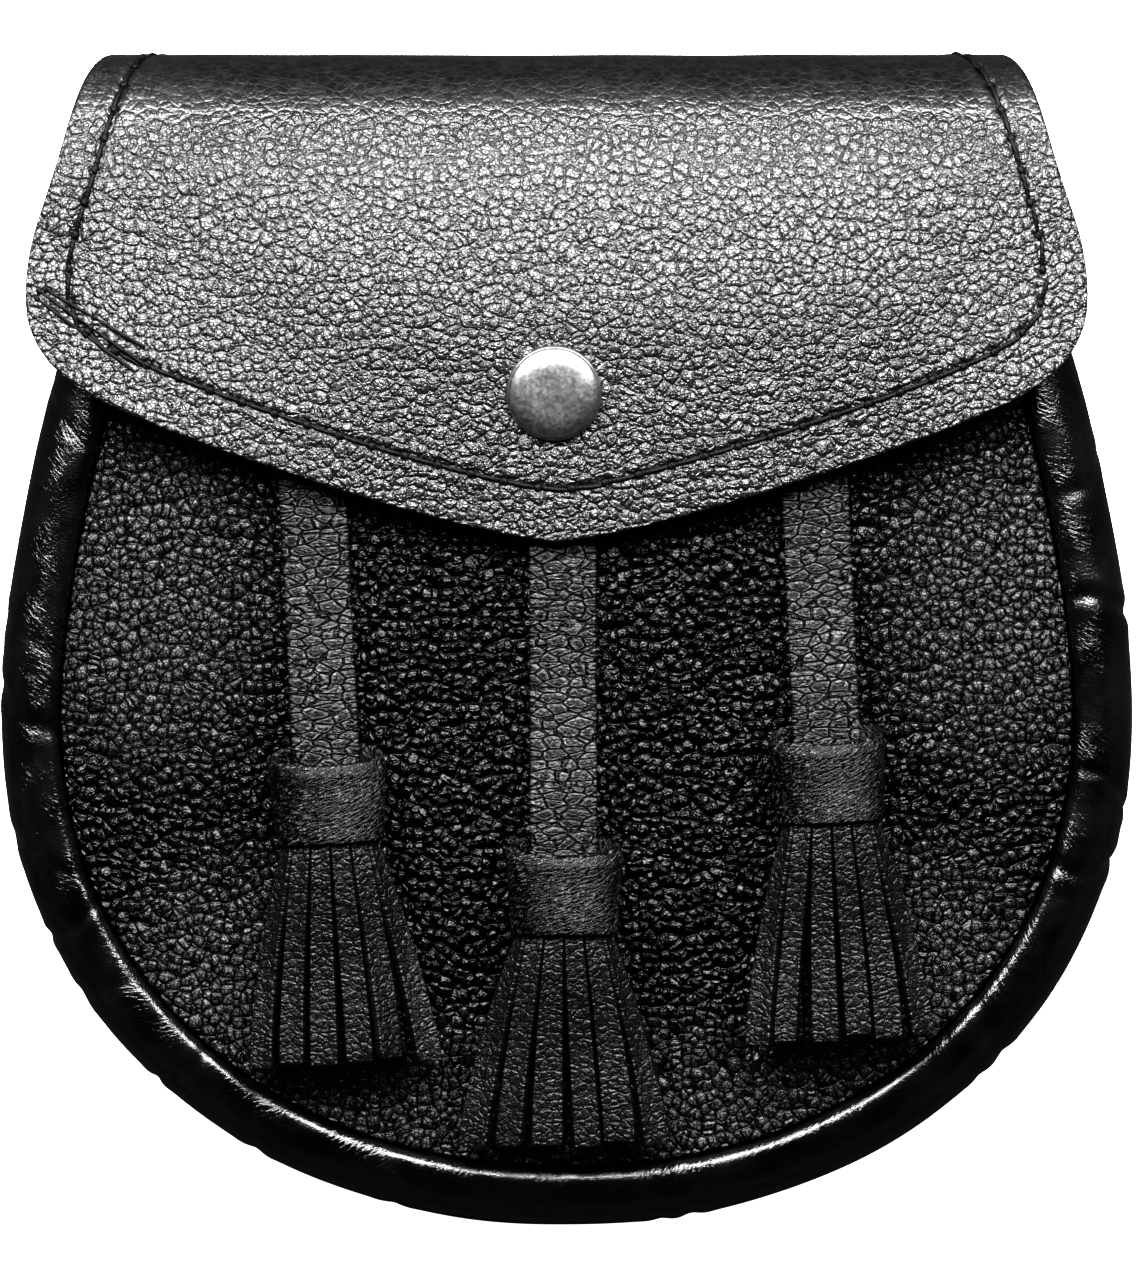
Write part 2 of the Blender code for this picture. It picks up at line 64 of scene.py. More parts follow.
MM = 0.001
IMAGE_SIZE = (1141, 1280)
METRES_PER_PIXEL = 0.1678 * MM
GRAIN_MASK = "grain_mask"
LIFT = "lift"
FLAT_MAP = "flat"

MATH = "ShaderNodeMath"
RANGE = "ShaderNodeMapRange"
SMOOTH = {"interpolation_type": "SMOOTHSTEP"}
SPLINE_STEPS = 12
ROUNDED_EDGE = 0.6 * MM
TASSEL_SHIFT = 0.1  # moves each tassel's grain to a place of its own, in metres for each seed

Array = np.ndarray
Places = tuple[tuple[float, float, float, float], ...]


def linear(hex_colour: str) -> tuple[float, float, float, float]:
    """Turns an sRGB hex colour into a linear RGBA one.

    Args:
        hex_colour: six hex digits, such as "1c1c1d".

    Returns:
        Linear red, green, blue and an alpha of one.
    """
    parts = [int(hex_colour[i : i + 2], 16) / 255 for i in (0, 2, 4)]
    red, green, blue = [c / 12.92 if c <= 0.04045 else ((c + 0.055) / 1.055) ** 2.4 for c in parts]
    return red, green, blue, 1.0


def add_node(
    tree: bpy.types.NodeTree, kind: str, inputs: dict | tuple = (), **settings: Any
) -> bpy.types.Node:
    """Adds one node to a tree with its settings, constants and links.

    Args:
        tree: the shader or geometry tree.
        kind: the node's type name.
        inputs: socket name or number to a constant, to an output socket or to a node, whose
            first output is meant; or a tuple of such values for the first sockets.
        **settings: the node's own properties.

    Returns:
        The new node.
    """
    node = tree.nodes.new(kind)
    for name, value in settings.items():
        setattr(node, name, value)
    for key, value in (inputs if isinstance(inputs, dict) else dict(enumerate(inputs))).items():
        if isinstance(value, bpy.types.Node):
            value = value.outputs[0]
        if isinstance(value, bpy.types.NodeSocket):
            tree.links.new(value, node.inputs[key])
        else:
            node.inputs[key].default_value = value
    return node


def smooth_step(value: Array | float) -> Array | float:
    """Rises smoothly from 0 to 1 as the value goes from 0 to 1."""
    t = np.clip(value, 0.0, 1.0)
    return t * t * (3 - 2 * t)


class Path:
    """A line through points, read by the distance along it."""

    def __init__(self, points: Any) -> None:
        """Measures the line.

        Args:
            points: the points in order, each of two or three coordinates.
        """
        self.points = np.asarray(points, dtype=float)
        steps = np.linalg.norm(np.diff(self.points, axis=0), axis=1)
        self.marks = np.concatenate([[0.0], np.cumsum(steps)])
        self.length = float(self.marks[-1])

    def at(self, distance: Array | float) -> Array:
        """Points at these distances from the start."""
        columns = [np.interp(distance, self.marks, column) for column in self.points.T]
        return np.stack(columns, axis=-1)

    def heading(self, distance: Array | float, step: float = 0.2 * MM) -> Array:
        """Unit directions of the line at these distances.

        Args:
            distance: distances from the start.
            step: how far before and after each one the line is read.

        Returns:
            One direction for each distance.
        """
        low = np.clip(np.asarray(distance) - step, 0, self.length)
        high = np.clip(np.asarray(distance) + step, 0, self.length)
        way = self.at(high) - self.at(low)
        return way / np.linalg.norm(way, axis=-1, keepdims=True)

    def part(self, start: float, end: float) -> "Path":
        """The stretch of the line between two distances."""
        inner = self.points[(self.marks > start) & (self.marks < end)]
        return Path(np.vstack([self.at(start), inner, self.at(end)]))

    def reversed(self) -> "Path":
        """The same line, walked the other way."""
        return Path(self.points[::-1])

    def inset(self, distance: float) -> "Path":
        """A flat line moved to its left by a distance.

        Args:
            distance: how far it is moved, in metres.

        Returns:
            The moved line.
        """
        way = np.gradient(self.points, axis=0)
        way /= np.linalg.norm(way, axis=1, keepdims=True)
        side = np.stack([-way[:, 1], way[:, 0]], axis=1)
        return Path(self.points + side * distance)


def spline(points: Any, steps: int = SPLINE_STEPS) -> Array:
    """Points of a smooth curve that passes through the given ones.

    Args:
        points: the points to pass through.
        steps: pieces between one given point and the next.

    Returns:
        The curve's points in order.
    """
    given = np.asarray(points, dtype=float)
    ends = np.vstack([2 * given[0] - given[1], given, 2 * given[-1] - given[-2]])
    t = (np.arange(steps) / steps)[:, None]
    found = []
    for a, b, c, d in zip(ends, ends[1:], ends[2:], ends[3:]):
        bend = (2 * a - 5 * b + 4 * c - d) * t**2 + (3 * b - a - 3 * c + d) * t**3
        found.append((2 * b + (c - a) * t + bend) / 2)
    return np.vstack([*found, given[-1:]])


def coons(top: Path, side: Path, bottom: Path, centre: Path, down: Array, out: Array) -> Array:
    """Fills a half outline with a grid whose rows run from the centre line to the side.

    Args:
        top: the upper edge, outwards from the centre line.
        side: the outer edge, downwards.
        bottom: the lower edge, outwards from the centre line.
        centre: the centre line, downwards.
        down: where the rows lie, as shares from 0 to 1.
        out: where the columns lie, as shares from 0 to 1.

    Returns:
        Flat points, rows by columns by two.
    """
    tops = top.at(top.length * out)[None]
    bottoms = bottom.at(bottom.length * out)[None]
    sides = side.at(side.length * down)[:, None]
    centres = centre.at(centre.length * down)[:, None]
    u, v = out[None, :, None], down[:, None, None]
    ruled = tops * (1 - v) + bottoms * v + centres * (1 - u) + sides * u
    corners = (tops[:, :1] * (1 - u) + tops[:, -1:] * u) * (1 - v)
    corners = corners + (bottoms[:, :1] * (1 - u) + bottoms[:, -1:] * u) * v
    return ruled - corners


def mirrored(half: Array) -> Array:
    """Adds a half grid's mirror image, so that its rows run from -X to +X.

    Args:
        half: rows that run from the centre line to +X.

    Returns:
        The whole grid.
    """
    other = half[:, :0:-1].copy()
    other[..., 0] *= -1
    return np.concatenate([other, half], axis=1)


def grid_normals(points: Array) -> Array:
    """Outward unit normals of a grid whose rows run down and whose columns run to +X.

    Args:
        points: the grid, rows by columns by three.

    Returns:
        One normal for each point.
    """
    down, right = np.gradient(points, axis=0), np.gradient(points, axis=1)
    normal = np.cross(down, right)
    return normal / np.linalg.norm(normal, axis=-1, keepdims=True)


@dataclass
class Leatherwork:
    """A mesh in the making: its points, faces, grain mask and laid-flat map."""

    points: Array
    faces: list[tuple[int, ...]]
    mask: Array
    flat: Array


@dataclass(frozen=True)
class CutSheet:
    """How a sheet of leather is cut: its thickness, its rounded edge and its coarse inner face."""

    wall: float
    edge: float = ROUNDED_EDGE
    step: int = 5

    def shell(self, outer: Array, flat: Array) -> Leatherwork:
        """Closes an outer face with a rounded rim and a coarser inner face.

        Args:
            outer: the outer face's points, inside the rounded edge; rows and columns less one
                divide by the step.
            flat: the same points laid flat, in metres.

        Returns:
            The closed mesh.
        """
        rows, columns = outer.shape[:2]
        normals = grid_normals(outer)
        index = np.arange(rows * columns).reshape(rows, columns)
        ring = np.concatenate([index[:, 0], index[-1, 1:], index[-2::-1, -1], index[0, -2:0:-1]])
        edge_points = outer.reshape(-1, 3)[ring]
        edge_normals = normals.reshape(-1, 3)[ring]
        edge_flat = flat.reshape(-1, 2)[ring]
        way = np.roll(edge_points, -1, axis=0) - np.roll(edge_points, 1, axis=0)
        out = np.cross(way, edge_normals)
        out /= np.linalg.norm(out, axis=1, keepdims=True)
        points, masks, flats = [outer.reshape(-1, 3)], [np.ones(rows * columns)], [flat.reshape(-1, 2)]
        turns = [math.radians(a) for a in (30, 60, 90)]
        steps = [(math.sin(a), 1 - math.cos(a)) for a in turns]
        across = [s for s, _ in steps] + [s for s, _ in steps[1::-1]] + [0.0]
        depth = [self.edge * d for _, d in steps] + [self.wall - self.edge * d for _, d in steps[1::-1]]
        depth += [self.wall]
        depth.insert(3, self.wall - self.edge)
        across.insert(3, 1.0)
        faces = self._quads(index)
        last, count = ring, rows * columns
        for a, d in zip(across, depth):
            points.append(edge_points + out * (self.edge * a) - edge_normals * d)
            masks.append(np.full(len(ring), 0.25 if d < self.wall / 2 else 0.0))
            flats.append(edge_flat)
            here = np.arange(count, count + len(ring))
            faces += [tuple(q) for q in zip(last, here, np.roll(here, -1), np.roll(last, -1))]
            last, count = here, count + len(ring)
        inner = np.full((rows, columns), -1)
        inner[:, 0] = last[:rows]
        inner[-1, 1:] = last[rows : rows + columns - 1]
        inner[-2::-1, -1] = last[rows + columns - 1 : 2 * rows + columns - 2]
        inner[0, -2:0:-1] = last[2 * rows + columns - 2 :]
        core = np.zeros((rows, columns), dtype=bool)
        core[self.step : -1 : self.step, self.step : -1 : self.step] = True
        inner[core] = np.arange(count, count + core.sum())
        points.append((outer - normals * self.wall)[core])
        masks.append(np.zeros(core.sum()))
        flats.append(flat[core])
        faces += self._inner_faces(inner)
        return Leatherwork(np.vstack(points), faces, np.concatenate(masks), np.vstack(flats))

    @staticmethod
    def _quads(index: Array) -> list[tuple[int, ...]]:
        """Quads of a grid of point numbers."""
        corners = (index[:-1, :-1], index[1:, :-1], index[1:, 1:], index[:-1, 1:])
        return [tuple(q) for q in np.stack([c.ravel() for c in corners], axis=1)]

    def _inner_faces(self, inner: Array) -> list[tuple[int, ...]]:
        """Coarse faces of the inner side; those at the rim take in all its points.

        Args:
            inner: point numbers of the inner side, -1 where it has none.

        Returns:
            The faces.
        """
        rows, columns = inner.shape
        s = self.step
        faces = []
        for r in range(0, rows - 1, s):
            for c in range(0, columns - 1, s):
                top = inner[r, c : c + s + 1] if r == 0 else inner[r, [c, c + s]]
                low = inner[r + s, c : c + s + 1] if r + s == rows - 1 else inner[r + s, [c, c + s]]
                left = inner[r : r + s + 1, c] if c == 0 else inner[[r, r + s], c]
                right = inner[r : r + s + 1, c + s] if c + s == columns - 1 else inner[[r, r + s], c + s]
                loop = [*top[:-1], *right[:-1], *low[:0:-1], *left[:0:-1]]
                faces.append(tuple(int(i) for i in loop))
        return faces


@dataclass(frozen=True)
class PouchFrame:
    """Where the sporran's own frame lies in the world, read from the solids."""

    to_world: Matrix

    @classmethod
    def from_solids(cls, seam_bowl: float) -> "PouchFrame":
        """Reads the lean from the back panel, whose outer face is a flat U.

        Args:
            seam_bowl: height of the bowl at the seam, in metres.

        Returns:
            The frame.
        """
        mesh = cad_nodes()["back_panel"].data
        points = np.empty(len(mesh.vertices) * 3)
        mesh.vertices.foreach_get("co", points)
        points = points.reshape(-1, 3)
        face = max(mesh.polygons, key=lambda p: -p.normal.z * p.area)
        lean = math.atan2(face.normal.y, -face.normal.z)
        turn = Matrix.Rotation(lean, 3, "X")
        level = np.array(turn.inverted() @ Vector(face.center))[2]
        own = points @ np.array(turn)
        foot = own[:, 1].min()
        low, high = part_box("back_panel")
        middle = turn.inverted() @ Vector(((low[0] + high[0]) / 2, 0, 0))
        origin = turn @ Vector((middle.x, foot + seam_bowl, level))
        LOG.info("the sporran leans by %.2f degrees", math.degrees(lean))
        return cls(Matrix.Translation(origin) @ turn.to_4x4())

    def place(self, points: Array) -> Array:
        """Carries points from the sporran's own frame into the world."""
        matrix = np.array(self.to_world)
        return points @ matrix[:3, :3].T + matrix[:3, 3]


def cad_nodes() -> dict[str, bpy.types.Object]:
    """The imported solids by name."""
    return {o.name: o for o in bpy.data.objects if o.type == "MESH"}


class Workshop:
    """Turns finished leatherwork into pieces of the scene."""

    def __init__(self, frame: PouchFrame) -> None:
        """Takes the frame that pieces are carried to."""
        self.frame = frame

    def make(self, name: str, work: Leatherwork, material: bpy.types.Material) -> bpy.types.Object:
        """Makes a smooth mesh object in the world, its place in its mesh.

        Args:
            name: the piece's name.
            work: its points, faces and attributes.
            material: its finish.

        Returns:
            The new object.
        """
        mesh = bpy.data.meshes.new(name)
        mesh.from_pydata(self.frame.place(work.points).tolist(), [], work.faces)
        mesh.materials.append(material)
        mesh.shade_smooth()
        mesh.attributes.new(GRAIN_MASK, "FLOAT", "POINT").data.foreach_set("value", work.mask)
        corners = np.empty(len(mesh.loops), dtype=int)
        mesh.loops.foreach_get("vertex_index", corners)
        layer = mesh.uv_layers.new(name=FLAT_MAP)
        layer.uv.foreach_set("vector", work.flat[corners].ravel())
        piece = bpy.data.objects.new(name, mesh)
        bpy.context.scene.collection.objects.link(piece)
        return piece

    def path(self, name: str, points: Array, lifts: Array) -> bpy.types.Object:
        """Makes a line of edges in the world that thread is sewn along.

        Args:
            name: the line's name.
            points: its points in the sporran's own frame.
            lifts: unit directions out of the leather at each point.

        Returns:
            A helper object.
        """
        mesh = bpy.data.meshes.new(name)
        edges = [(i, i + 1) for i in range(len(points) - 1)]
        mesh.from_pydata(self.frame.place(points).tolist(), edges, [])
        turned = lifts @ np.array(self.frame.to_world)[:3, :3].T
        mesh.attributes.new(LIFT, "FLOAT_VECTOR", "POINT").data.foreach_set("vector", turned.ravel())
        line = bpy.data.objects.new(name, mesh)
        bpy.context.scene.collection.objects.link(line)
        return line

    @staticmethod
    def apply(piece: bpy.types.Object, tree: bpy.types.NodeTree, values: dict[str, Any]) -> None:
        """Runs a Geometry Nodes tree on a piece and keeps the result as its plain mesh.

        Args:
            piece: the object whose mesh the tree reads.
            tree: the tree.
            values: the tree's inputs by name.
        """
        modifier = piece.modifiers.new(tree.name, "NODES")
        modifier.node_group = tree
        for socket in tree.interface.items_tree:
            if socket.item_type == "SOCKET" and socket.in_out == "INPUT" and socket.name in values:
                modifier[socket.identifier] = values[socket.name]
        graph = bpy.context.evaluated_depsgraph_get()
        made = bpy.data.meshes.new_from_object(piece.evaluated_get(graph), depsgraph=graph)
        old = piece.data
        piece.modifiers.remove(modifier)
        piece.data = made
        bpy.data.meshes.remove(old)

    @staticmethod
    def deliver(piece: bpy.types.Object, slot: str, replaces: str | None = None) -> None:
        """Hands a finished piece to the frame.

        Args:
            piece: the finished object.
            slot: the record's material slot; not used.
            replaces: the solid that it stands for.
        """
        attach(piece, BODY)
        if replaces:
            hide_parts(replaces)
        LOG.info("%s: %d faces", piece.name, len(piece.data.polygons))


class GeometryTree:
    """A Geometry Nodes tree with named inputs, which ends in Realize Instances and Set Material."""

    def __init__(self, name: str, sizes: dict[str, float], objects: tuple[str, ...] = ()) -> None:
        """Makes the tree's interface.

        Args:
            name: the tree's name.
            sizes: number inputs and their defaults.
            objects: names of object inputs.
        """
        self.tree = bpy.data.node_groups.new(name, "GeometryNodeTree")
        face = self.tree.interface
        face.new_socket("Geometry", in_out="INPUT", socket_type="NodeSocketGeometry")
        for label, value in sizes.items():
            face.new_socket(label, in_out="INPUT", socket_type="NodeSocketFloat").default_value = value
        for label in objects:
            face.new_socket(label, in_out="INPUT", socket_type="NodeSocketObject")
        face.new_socket("Material", in_out="INPUT", socket_type="NodeSocketMaterial")
        face.new_socket("Geometry", in_out="OUTPUT", socket_type="NodeSocketGeometry")
        self.given = self.tree.nodes.new("NodeGroupInput").outputs

    def add(self, kind: str, inputs: dict | tuple = (), **settings: Any) -> bpy.types.Node:
        """Adds a node, as add_node does."""
        return add_node(self.tree, kind, inputs, **settings)

    def bell(self, distance: Any, width: Any) -> bpy.types.Node:
        """A smooth bell over a distance: 1 at nought, falling to nothing past twice the width.

        Args:
            distance: how far off each point lies.
            width: the bell's width.

        Returns:
            The bell's last node.
        """
        share = self.add(MATH, (distance, width), operation="DIVIDE")
        squared = self.add(MATH, (share, 2.0), operation="POWER")
        fall = self.add(MATH, (squared, -1.0), operation="MULTIPLY")
        return self.add(MATH, (fall,), operation="EXPONENT")

    def push(self, geometry: Any, distance: Any) -> bpy.types.NodeSocket:
        """Moves the surface out along its normals by a distance, where the grain mask lets it.

        Args:
            geometry: the socket of the shape.
            distance: how far out, in metres.

        Returns:
            The moved shape's socket.
        """
        mask = self.add("GeometryNodeInputNamedAttribute", {0: GRAIN_MASK}, data_type="FLOAT").outputs[0]
        normal = self.add("GeometryNodeInputNormal").outputs[0]
        scale = self.add(MATH, (distance, mask), operation="MULTIPLY")
        offset = self.add("ShaderNodeVectorMath", {0: normal, "Scale": scale}, operation="SCALE").outputs[0]
        moved = self.add("GeometryNodeSetPosition", {"Geometry": geometry, "Offset": offset})
        return moved.outputs["Geometry"]

    def end(self, geometry: Any) -> bpy.types.NodeTree:
        """Closes the tree.

        Args:
            geometry: the socket of the finished shape.

        Returns:
            The whole tree.
        """
        real = self.add("GeometryNodeRealizeInstances", {"Geometry": geometry}).outputs[0]
        finish = {"Geometry": real, "Material": self.given["Material"]}
        dressed = self.add("GeometryNodeSetMaterial", finish)
        self.add("NodeGroupOutput", {0: dressed.outputs[0]})
        return self.tree


def grain_cells(
    tree: bpy.types.NodeTree, place: Any, cell: float, feature: str, warp: float
) -> bpy.types.NodeSocket:
    """The natural cells of a leather's grain, the same in a Geometry Nodes tree and in a shader.

    Args:
        tree: the tree that reads them.
        place: the position's socket.
        cell: mean width of a cell, in metres.
        feature: the Voronoi feature, such as "F1" or "DISTANCE_TO_EDGE".
        warp: how far the cells are bent out of their even shape, as a share of a cell.

    Returns:
        The distance's socket, in shares of a cell.
    """
    noise = add_node(tree, "ShaderNodeTexNoise", {"Vector": place, "Scale": 0.35 / cell, "Detail": 1.0})
    centred = {0: noise.outputs["Color"], 1: (0.5, 0.5, 0.5)}
    bend = add_node(tree, "ShaderNodeVectorMath", centred, operation="SUBTRACT")
    sized = {0: bend.outputs[0], "Scale": cell * warp}
    far = add_node(tree, "ShaderNodeVectorMath", sized, operation="SCALE")
    moved = add_node(tree, "ShaderNodeVectorMath", {0: place, 1: far.outputs[0]}, operation="ADD")
    sites = {"Vector": moved.outputs[0], "Scale": 1 / cell, "Randomness": 0.9}
    return add_node(tree, "ShaderNodeTexVoronoi", sites, feature=feature).outputs["Distance"]


def pebble_tree(cell: float, warp: float) -> bpy.types.NodeTree:
    """A tree that raises the leather's pebbles as real relief and makes the sheet gently uneven.

    Args:
        cell: mean width of a pebble, in metres.
        warp: how uneven the pebbles are.

    Returns:
        The tree, with inputs Depth, Waviness, Wave length, Fade from and Fade to (the heights between
        which the pebbles fade out).
    """
    sizes = {"Depth": 0.1 * MM, "Waviness": 0.3 * MM, "Wave length": 30 * MM}
    sizes |= {"Fade from": 1.0, "Fade to": 1.1}
    made = GeometryTree("raise_pebbles", sizes)
    place = made.add("GeometryNodeInputPosition").outputs[0]
    distance = grain_cells(made.tree, place, cell, "F1", warp)
    dome = made.add(MATH, (0.35, made.add(MATH, (distance, 2.0), operation="POWER")), operation="SUBTRACT")
    up = made.add("ShaderNodeSeparateXYZ", {0: place}).outputs["Y"]
    ends = {"Value": up, "From Min": made.given["Fade from"], "From Max": made.given["Fade to"]}
    ends |= {"To Min": 1.0, "To Max": 0.0}
    kept = made.add("ShaderNodeMapRange", ends, interpolation_type="SMOOTHSTEP").outputs[0]
    relief = made.add(MATH, (dome, kept), operation="MULTIPLY")
    relief = made.add(MATH, (relief, made.given["Depth"]), operation="MULTIPLY")
    scale = made.add(MATH, (1.0, made.given["Wave length"]), operation="DIVIDE")
    wide = {"Vector": place, "Scale": scale, "Detail": 1.0}
    noise = made.add("ShaderNodeTexNoise", wide).outputs[0]
    waves = made.add(MATH, (noise, 0.5), operation="SUBTRACT")
    waves = made.add(MATH, (waves, made.given["Waviness"]), operation="MULTIPLY")
    return made.end(made.push(made.given["Geometry"], made.add(MATH, (relief, waves), operation="ADD")))


def seam_bed_tree() -> bpy.types.NodeTree:
    """A tree that sinks a line of stitches into the leather, with a hole at each needle's place.

    Returns:
        The tree, with the seam's path as an object input.
    """
    sizes = {"Pitch": 5.6 * MM, "Groove": 0.55 * MM, "Depth": 0.4 * MM, "Hole": 0.75 * MM}
    sizes |= {"Hole depth": 0.7 * MM, "Ridge": 0.15 * MM}
    made = GeometryTree("sink_seam", sizes, ("Path",))
    line = made.add("GeometryNodeObjectInfo", {"Object": made.given["Path"]}).outputs["Geometry"]
    near = {"Geometry": line}
    groove = made.add("GeometryNodeProximity", near, target_element="EDGES").outputs["Distance"]
    curve = made.add("GeometryNodeMeshToCurve", {"Mesh": line}).outputs[0]
    even = {"Curve": curve, "Length": made.given["Pitch"]}
    spaced = made.add("GeometryNodeResampleCurve", even, mode="LENGTH")
    dots = made.add("GeometryNodeCurveToPoints", {"Curve": spaced.outputs[0]}, mode="EVALUATED")
    near = {"Geometry": dots.outputs[0]}
    hole = made.add("GeometryNodeProximity", near, target_element="POINTS").outputs["Distance"]
    sunk = made.bell(groove, made.given["Groove"])
    sunk = made.add(MATH, (sunk, made.given["Depth"]), operation="MULTIPLY")
    pierced = made.bell(hole, made.given["Hole"])
    pierced = made.add(MATH, (pierced, made.given["Hole depth"]), operation="MULTIPLY")
    beside = made.add(MATH, (made.given["Groove"], 2.6), operation="MULTIPLY")
    ridge = made.bell(made.add(MATH, (groove, beside), operation="SUBTRACT"), made.given["Groove"])
    ridge = made.add(MATH, (ridge, made.given["Ridge"]), operation="MULTIPLY")
    down = made.add(MATH, (sunk, pierced), operation="ADD")
    return made.end(made.push(made.given["Geometry"], made.add(MATH, (ridge, down), operation="SUBTRACT")))


def stitch_tree() -> bpy.types.NodeTree:
    """A tree that sews thread along a path: one arched stitch from each needle's place to the next.

    Returns:
        The tree, with inputs Pitch, Share, Thread, Rise, Sink and Hole.
    """
    sizes = {"Pitch": 5.6 * MM, "Share": 0.86, "Thread": 0.3 * MM}
    sizes |= {"Rise": 0.15 * MM, "Sink": 0.7 * MM, "Hole": 0.6 * MM}
    made = GeometryTree("sew_stitches", sizes)
    pitch, share = made.given["Pitch"], made.given["Share"]
    curve = made.add("GeometryNodeMeshToCurve", {"Mesh": made.given["Geometry"]}).outputs[0]
    spaced = made.add("GeometryNodeResampleCurve", {"Curve": curve, "Length": pitch}, mode="LENGTH")
    rest = made.add(MATH, (1.0, share), operation="SUBTRACT")
    start = made.add(MATH, (pitch, made.add(MATH, (rest, 2.0), operation="DIVIDE")), operation="MULTIPLY")
    end = made.add(MATH, (pitch, start), operation="SUBTRACT")
    sink = made.add(MATH, (made.given["Sink"], -1.0), operation="MULTIPLY")
    rise = made.add(MATH, (made.given["Rise"], 2.0), operation="MULTIPLY")
    rise = made.add(MATH, (rise, made.given["Sink"]), operation="ADD")
    first = made.add("ShaderNodeCombineXYZ", {"X": start, "Z": sink}).outputs[0]
    half = made.add(MATH, (pitch, 0.5), operation="MULTIPLY")
    high = made.add("ShaderNodeCombineXYZ", {"X": half, "Z": rise}).outputs[0]
    last = made.add("ShaderNodeCombineXYZ", {"X": end, "Z": sink}).outputs[0]
    arch = {"Resolution": 10, "Start": first, "Middle": high, "End": last}
    bow = made.add("GeometryNodeCurveQuadraticBezier", arch).outputs[0]
    ring = {"Resolution": 8, "Radius": made.given["Thread"]}
    round_thread = made.add("GeometryNodeCurvePrimitiveCircle", ring)
    swept = {"Curve": bow, "Profile Curve": round_thread.outputs[0], "Fill Caps": True}
    thread = made.add("GeometryNodeCurveToMesh", swept).outputs[0]
    thread = made.add("GeometryNodeSetShadeSmooth", {"Geometry": thread}).outputs[0]
    tangent = made.add("GeometryNodeInputTangent").outputs[0]
    lift = made.add("GeometryNodeInputNamedAttribute", {0: LIFT}, data_type="FLOAT_VECTOR").outputs[0]
    axes = {0: tangent, 1: lift}
    turn = made.add("FunctionNodeAxesToRotation", axes, primary_axis="X", secondary_axis="Z").outputs[0]
    here = {"Points": spaced.outputs[0], "Instance": thread, "Rotation": turn}
    stitches = made.add("GeometryNodeInstanceOnPoints", here).outputs[0]
    # At each needle's place, a flattened black blob: partly the thread going into the hole, partly painted
    # shade for the hole.
    ball = {"Radius": made.given["Hole"], "Subdivisions": 2}
    thread_and_hole_shade = made.add("GeometryNodeMeshIcoSphere", ball).outputs[0]
    thread_and_hole_shade = made.add("GeometryNodeSetShadeSmooth", {"Geometry": thread_and_hole_shade}).outputs[0]
    flat = made.add("ShaderNodeCombineXYZ", {"X": 1.0, "Y": 0.8, "Z": 0.45}).outputs[0]
    there = {"Points": spaced.outputs[0], "Instance": thread_and_hole_shade, "Rotation": turn, "Scale": flat}
    threads_and_hole_shades = made.add("GeometryNodeInstanceOnPoints", there).outputs[0]
    joined = made.add("GeometryNodeJoinGeometry")
    made.tree.links.new(threads_and_hole_shades, joined.inputs[0])
    made.tree.links.new(stitches, joined.inputs[0])
    return made.end(joined.outputs[0])


class Gloss(Enum):
    """How much shine a leather's finish has: roughness of its tops and of its cracks."""

    BRIGHT = (0.36, 0.42)
    SATIN = (0.20, 0.25)
    WAXED = (0.27, 0.34)
    DULL = (0.37, 0.43)
    POLISHED = (0.18, 0.26)


